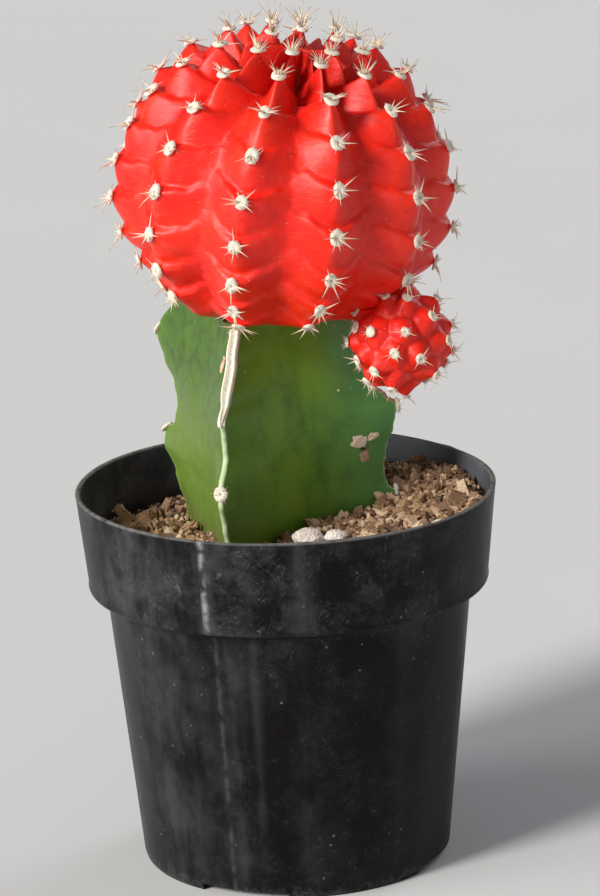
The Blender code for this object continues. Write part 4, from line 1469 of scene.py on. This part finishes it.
def spines_at(seat, rng, length, thickness, fan, rise):
    """Needle places for one areole: a fan round its lower side and some upright ones."""
    point, out, down, youth = seat
    side = out.cross(down).normalized()
    places = []
    upright = (20, 160, -160, -100, 60) if youth > 0.3 else ()
    for angle in (*fan, *upright):
        if rng.random() < 0.16:
            continue
        turn = math.radians(angle + rng.uniform(-24.0, 24.0))
        level = down * math.cos(turn) + side * math.sin(turn)
        lift = math.radians(rise + 34.0 * youth + rng.uniform(-12.0, 14.0))
        direction = level * math.cos(lift) + out * math.sin(lift)
        reach = length * rng.uniform(0.5, 1.15)
        root = point + level * (0.28 * MM) + out * (0.12 * MM)
        places.append(needle_place(root, direction, out, reach, thickness, rng))
    return places


def curl(mesh, places, count, amount):
    """Bend each stamped needle a little towards the skin it grows from."""
    points = points_of(mesh)
    along = np.empty(len(points))
    mesh.attributes["along"].data.foreach_get("value", along)
    for k, place in enumerate(places):
        sag = Vector((place[0][2], place[1][2], place[2][2]))
        sag = sag.normalized() * (place.to_3x3().col[0].length * amount[k])
        rows = slice(k * count, (k + 1) * count)
        points[rows] += np.outer(along[rows] ** 2, np.array(sag))
    set_points(mesh, points)


def make_spines(name, places, rng):
    """One mesh of needles, each with its own slight curl."""
    needle = spine_shape()
    count = len(needle.data.vertices)
    spines = stamp(name, needle, places)
    bends = [rng.uniform(-0.05, 0.22) for _ in places]
    curl(spines.data, places, count, bends)
    bpy.data.objects.remove(needle)
    shade(spines)
    return spines


def pad_place(seat, width, height, rng):
    """Matrix that lays a wool pad on its areole."""
    point, out, down, _ = seat
    side = out.cross(down).normalized()
    along = side.cross(out).normalized()
    w = width * rng.uniform(0.88, 1.12)
    h = height * rng.uniform(0.9, 1.15)
    d = width * rng.uniform(0.62, 0.8)
    return Matrix((
        (side.x * w, along.x * h, out.x * d, point.x),
        (side.y * w, along.y * h, out.y * d, point.y),
        (side.z * w, along.z * h, out.z * d, point.z),
        (0.0, 0.0, 0.0, 1.0),
    ))


def wool_hairs(seats, rng, radius, length, each):
    """Short loose hairs round each pad."""
    places = []
    for point, out, down, _ in seats:
        side = out.cross(down).normalized()
        for _ in range(each):
            turn = rng.uniform(0.0, 2.0 * math.pi)
            level = down * math.cos(turn) + side * math.sin(turn)
            lift = rng.uniform(0.3, 1.3)
            direction = level * math.cos(lift) + out * math.sin(lift)
            root = point + level * (radius * rng.uniform(0.3, 0.85)) + out * (0.1 * MM)
            places.append(needle_place(root, direction, out, length * rng.uniform(0.5, 1.1),
                                       0.035 * MM, rng))
    return places


def dress(prefix, seats, rng, pad_width, length, fan, rise, thickness, slot, wool, horn):
    """Wool pads, hairs and spines for a set of areoles."""
    pad = wool_pad()
    places = [pad_place(seat, pad_width, pad_width * 1.15, rng) for seat in seats]
    tones = [0.25 + 0.75 * (rng.random() < 0.45) for _ in seats]
    pads = stamp(f"{prefix}_pads", pad, places, tones)
    bpy.data.objects.remove(pad)
    shade(pads)
    hairs = make_spines(f"{prefix}_hairs", wool_hairs(seats, rng, pad_width / 2.0,
                                                      0.55 * pad_width, 16), rng)
    complete(joined(f"{prefix}_wool", [pads, hairs]), wool, slot)
    places = []
    for seat in seats:
        places += spines_at(seat, rng, length, thickness, fan, rise)
    complete(make_spines(f"{prefix}_spines", places, rng), horn, slot)


def stem_seats():
    """Areoles left on the wings' crests."""
    seats = []
    for wing, z in STEM_AREOLES:
        point, out, _ = crest_frame(wing, z * MM)
        seats.append((point - out * (0.05 * MM), out, Vector((0.0, 0.0, -1.0)), 0.0))
    return seats


class MOONCACTUS_OT_areoles(bpy.types.Operator):
    """Make the wool pads, hairs and spines of the globes and the stem"""
    bl_idname = "mooncactus.areoles"
    bl_label = "Wool and spines"

    def execute(self, context):
        settings = context.scene.mooncactus_plant
        rng = random.Random(settings.seed)
        wool = wool_finish()
        horn = spine_finish()
        dress("globe", globe_seats(), rng, settings.wool_width, settings.spine_length,
              (8, 52, -46, 88, -84, 122, -150), 24.0, 0.155 * MM, "flesh", wool, horn)
        seats = []
        for direction in side_directions():
            tip = side_skin(np.array([list(direction)]), side_directions())[0][0]
            ideal = SIDE_CENTRE + Vector((direction.x, direction.y, direction.z * SIDE_TALL)) \
                * (SIDE_RADIUS + SIDE_TUBERCLE * MM)
            if (Vector(tip) - ideal).length > 0.6 * MM:
                continue
            down = Vector((0.25, 0.1, -1.0))
            down = (down - direction * down.dot(direction)).normalized()
            seats.append((Vector(tip) + direction * (0.08 * MM), direction, down, 0.15))
        dress("side_globe", seats, rng, settings.wool_width * 0.72, settings.spine_length * 0.72,
              (0, 60, -60, 120, -120), 32.0, 0.085 * MM, "flesh", wool, horn)
        dress("stem", stem_seats(), rng, settings.wool_width * 1.05, settings.spine_length * 0.4,
              (30, -60, 150), 40.0, 0.10 * MM, "stem", wool, horn)
        return {"FINISHED"}


# ------------------------------------------------------------------ globes

class MOONCACTUS_OT_globe(bpy.types.Operator):
    """Make the large ribbed red globe"""
    bl_idname = "mooncactus.globe"
    bl_label = "Red globe"

    def execute(self, context):
        globe = primitive(bpy.ops.mesh.primitive_uv_sphere_add, "ribbed_globe",
                          segments=RIBS * 32, ring_count=226, radius=1.0,
                          rotation=(0.0, 0.0, math.radians(RIB_AZIMUTH)))
        set_place(globe)
        unit = points_of(globe.data)
        latitude = np.degrees(np.arcsin(np.clip(unit[:, 2], -1.0, 1.0)))
        azimuth = np.degrees(np.arctan2(unit[:, 0], -unit[:, 1]))
        radius, crest, crease, hollow = globe_skin(latitude, azimuth)
        local = unit * radius[:, None]
        swell = 0.16 * lumps(local, 6.0 * MM, 1.0) + 0.06 * lumps(local, 1.8 * MM, 8.0)
        local = local + unit * (swell * MM)[:, None]
        points = local @ globe_matrix().T + np.array(GLOBE_CENTRE)
        points[:, 2] = settled(points[:, 2])
        set_points(globe.data, points)
        add_values(globe.data, "crest", crest)
        add_values(globe.data, "crease", crease)
        # hollow carries painted shade into the furrows
        add_values(globe.data, "hollow", hollow)
        add_values(globe.data, "crown", smooth(48.0, 78.0, latitude))
        outward(globe)
        shade(globe)
        settings = context.scene.mooncactus_plant
        complete(globe, flesh_finish("red_skin", settings), "flesh", "scion")
        return {"FINISHED"}


class MOONCACTUS_OT_side_globe(bpy.types.Operator):
    """Make the small side globe"""
    bl_idname = "mooncactus.side_globe"
    bl_label = "Side globe"

    def execute(self, context):
        side = primitive(bpy.ops.mesh.primitive_ico_sphere_add, "side_globe", subdivisions=6,
                         radius=1.0)
        unit = points_of(side.data)
        unit = unit / np.linalg.norm(unit, axis=1)[:, None]
        points, cone, seam = side_skin(unit, side_directions())
        set_points(side.data, points)
        add_values(side.data, "crest", cone * 0.6)
        # The seams take painted shade through hollow and crown
        add_values(side.data, "hollow", seam)
        add_values(side.data, "crown", seam * 0.35)
        outward(side)
        shade(side)
        settings = context.scene.mooncactus_plant
        complete(side, flesh_finish("young_red_skin", settings, 0.95), "flesh", "scion_offset")
        return {"FINISHED"}


# ------------------------------------------------------------------ stage

def soft_light(name, azimuth, elevation, strength, spread, colour):
    """A distant soft light from a direction, spread over an angle in degrees."""
    data = bpy.data.lights.new(name, "SUN")
    data.energy = strength
    data.angle = math.radians(spread)
    data.color = colour
    light = bpy.data.objects.new(name, data)
    bpy.context.scene.collection.objects.link(light)
    rise = math.radians(elevation)
    towards = polar(math.cos(rise), azimuth, math.sin(rise))
    light.location = towards
    light.rotation_euler = towards.to_track_quat("Z", "Y").to_euler()


def soft_room(strength):
    """Even light from all round; the room itself is seen a paler grey."""
    world = bpy.data.worlds.new("soft_room")
    world.use_nodes = True
    nodes, links = world.node_tree.nodes, world.node_tree.links
    seen = nodes.new("ShaderNodeLightPath")
    blend = nodes.new("ShaderNodeMix")
    blend.data_type = "RGBA"
    blend.inputs[6].default_value = (0.62 * strength, 0.64 * strength, 0.68 * strength, 1.0)
    blend.inputs[7].default_value = (0.60, 0.60, 0.605, 1.0)
    links.new(seen.outputs["Is Camera Ray"], blend.inputs[0])
    links.new(blend.outputs[2], nodes["Background"].inputs["Color"])
    return world


class MOONCACTUS_OT_stage(bpy.types.Operator):
    """Set the pale floor, the lights and the camera"""
    bl_idname = "mooncactus.stage"
    bl_label = "Floor, light and camera"

    def execute(self, context):
        settings = context.scene.mooncactus_stage
        scene = context.scene
        floor = primitive(bpy.ops.mesh.primitive_plane_add, "pale_floor", size=12.0)
        set_place(floor)
        floor.data.materials.append(floor_finish().material)
        scene.world = soft_room(settings.room)
        for name, azimuth, elevation, share, spread, colour in LIGHTS:
            soft_light(name, azimuth, elevation, settings.key * share, spread, colour)
        camera_data = bpy.data.cameras.new("camera")
        camera_data.lens = settings.lens
        camera_data.sensor_width = 36.0
        camera_data.clip_start = 0.05
        camera_data.clip_end = 20.0
        camera = bpy.data.objects.new("camera", camera_data)
        scene.collection.objects.link(camera)
        camera.location = CAMERA_PLACE
        camera.rotation_euler = [math.radians(angle) for angle in CAMERA_TURN]
        scene.camera = camera
        scene.view_settings.view_transform = "Standard"
        return {"FINISHED"}


# ------------------------------------------------------------------ panel and run

STEPS = (
    MOONCACTUS_OT_pot,
    MOONCACTUS_OT_mix,
    MOONCACTUS_OT_pumice,
    MOONCACTUS_OT_stem,
    MOONCACTUS_OT_globe,
    MOONCACTUS_OT_side_globe,
    MOONCACTUS_OT_areoles,
    MOONCACTUS_OT_stage,
)

GROUPS = {
    "mooncactus_pot": PotSettings,
    "mooncactus_mix": MixSettings,
    "mooncactus_plant": PlantSettings,
    "mooncactus_stage": StageSettings,
}


class MOONCACTUS_PT_panel(bpy.types.Panel):
    """Lists the pieces' settings and their operators"""
    bl_idname = "MOONCACTUS_PT_panel"
    bl_label = "Moon cactus"
    bl_space_type = "VIEW_3D"
    bl_region_type = "UI"
    bl_category = "Moon cactus"

    def draw(self, context):
        for group in GROUPS:
            box = self.layout.box()
            settings = getattr(context.scene, group)
            for name in settings.__annotations__:
                box.prop(settings, name)
        for step in STEPS:
            self.layout.operator(step.bl_idname)


def register():
    """Register the settings, the operators and the panel."""
    for cls in (*GROUPS.values(), *STEPS, MOONCACTUS_PT_panel):
        bpy.utils.register_class(cls)
    for name, group in GROUPS.items():
        setattr(bpy.types.Scene, name, PointerProperty(type=group))


def unregister():
    """Take them all out again."""
    for name in GROUPS:
        delattr(bpy.types.Scene, name)
    for cls in reversed((*GROUPS.values(), *STEPS, MOONCACTUS_PT_panel)):
        bpy.utils.unregister_class(cls)


def main():
    """Make every piece."""
    register()
    for step in STEPS:
        space, name = step.bl_idname.split(".")
        getattr(getattr(bpy.ops, space), name)()


if __name__ == "__main__":
    main()
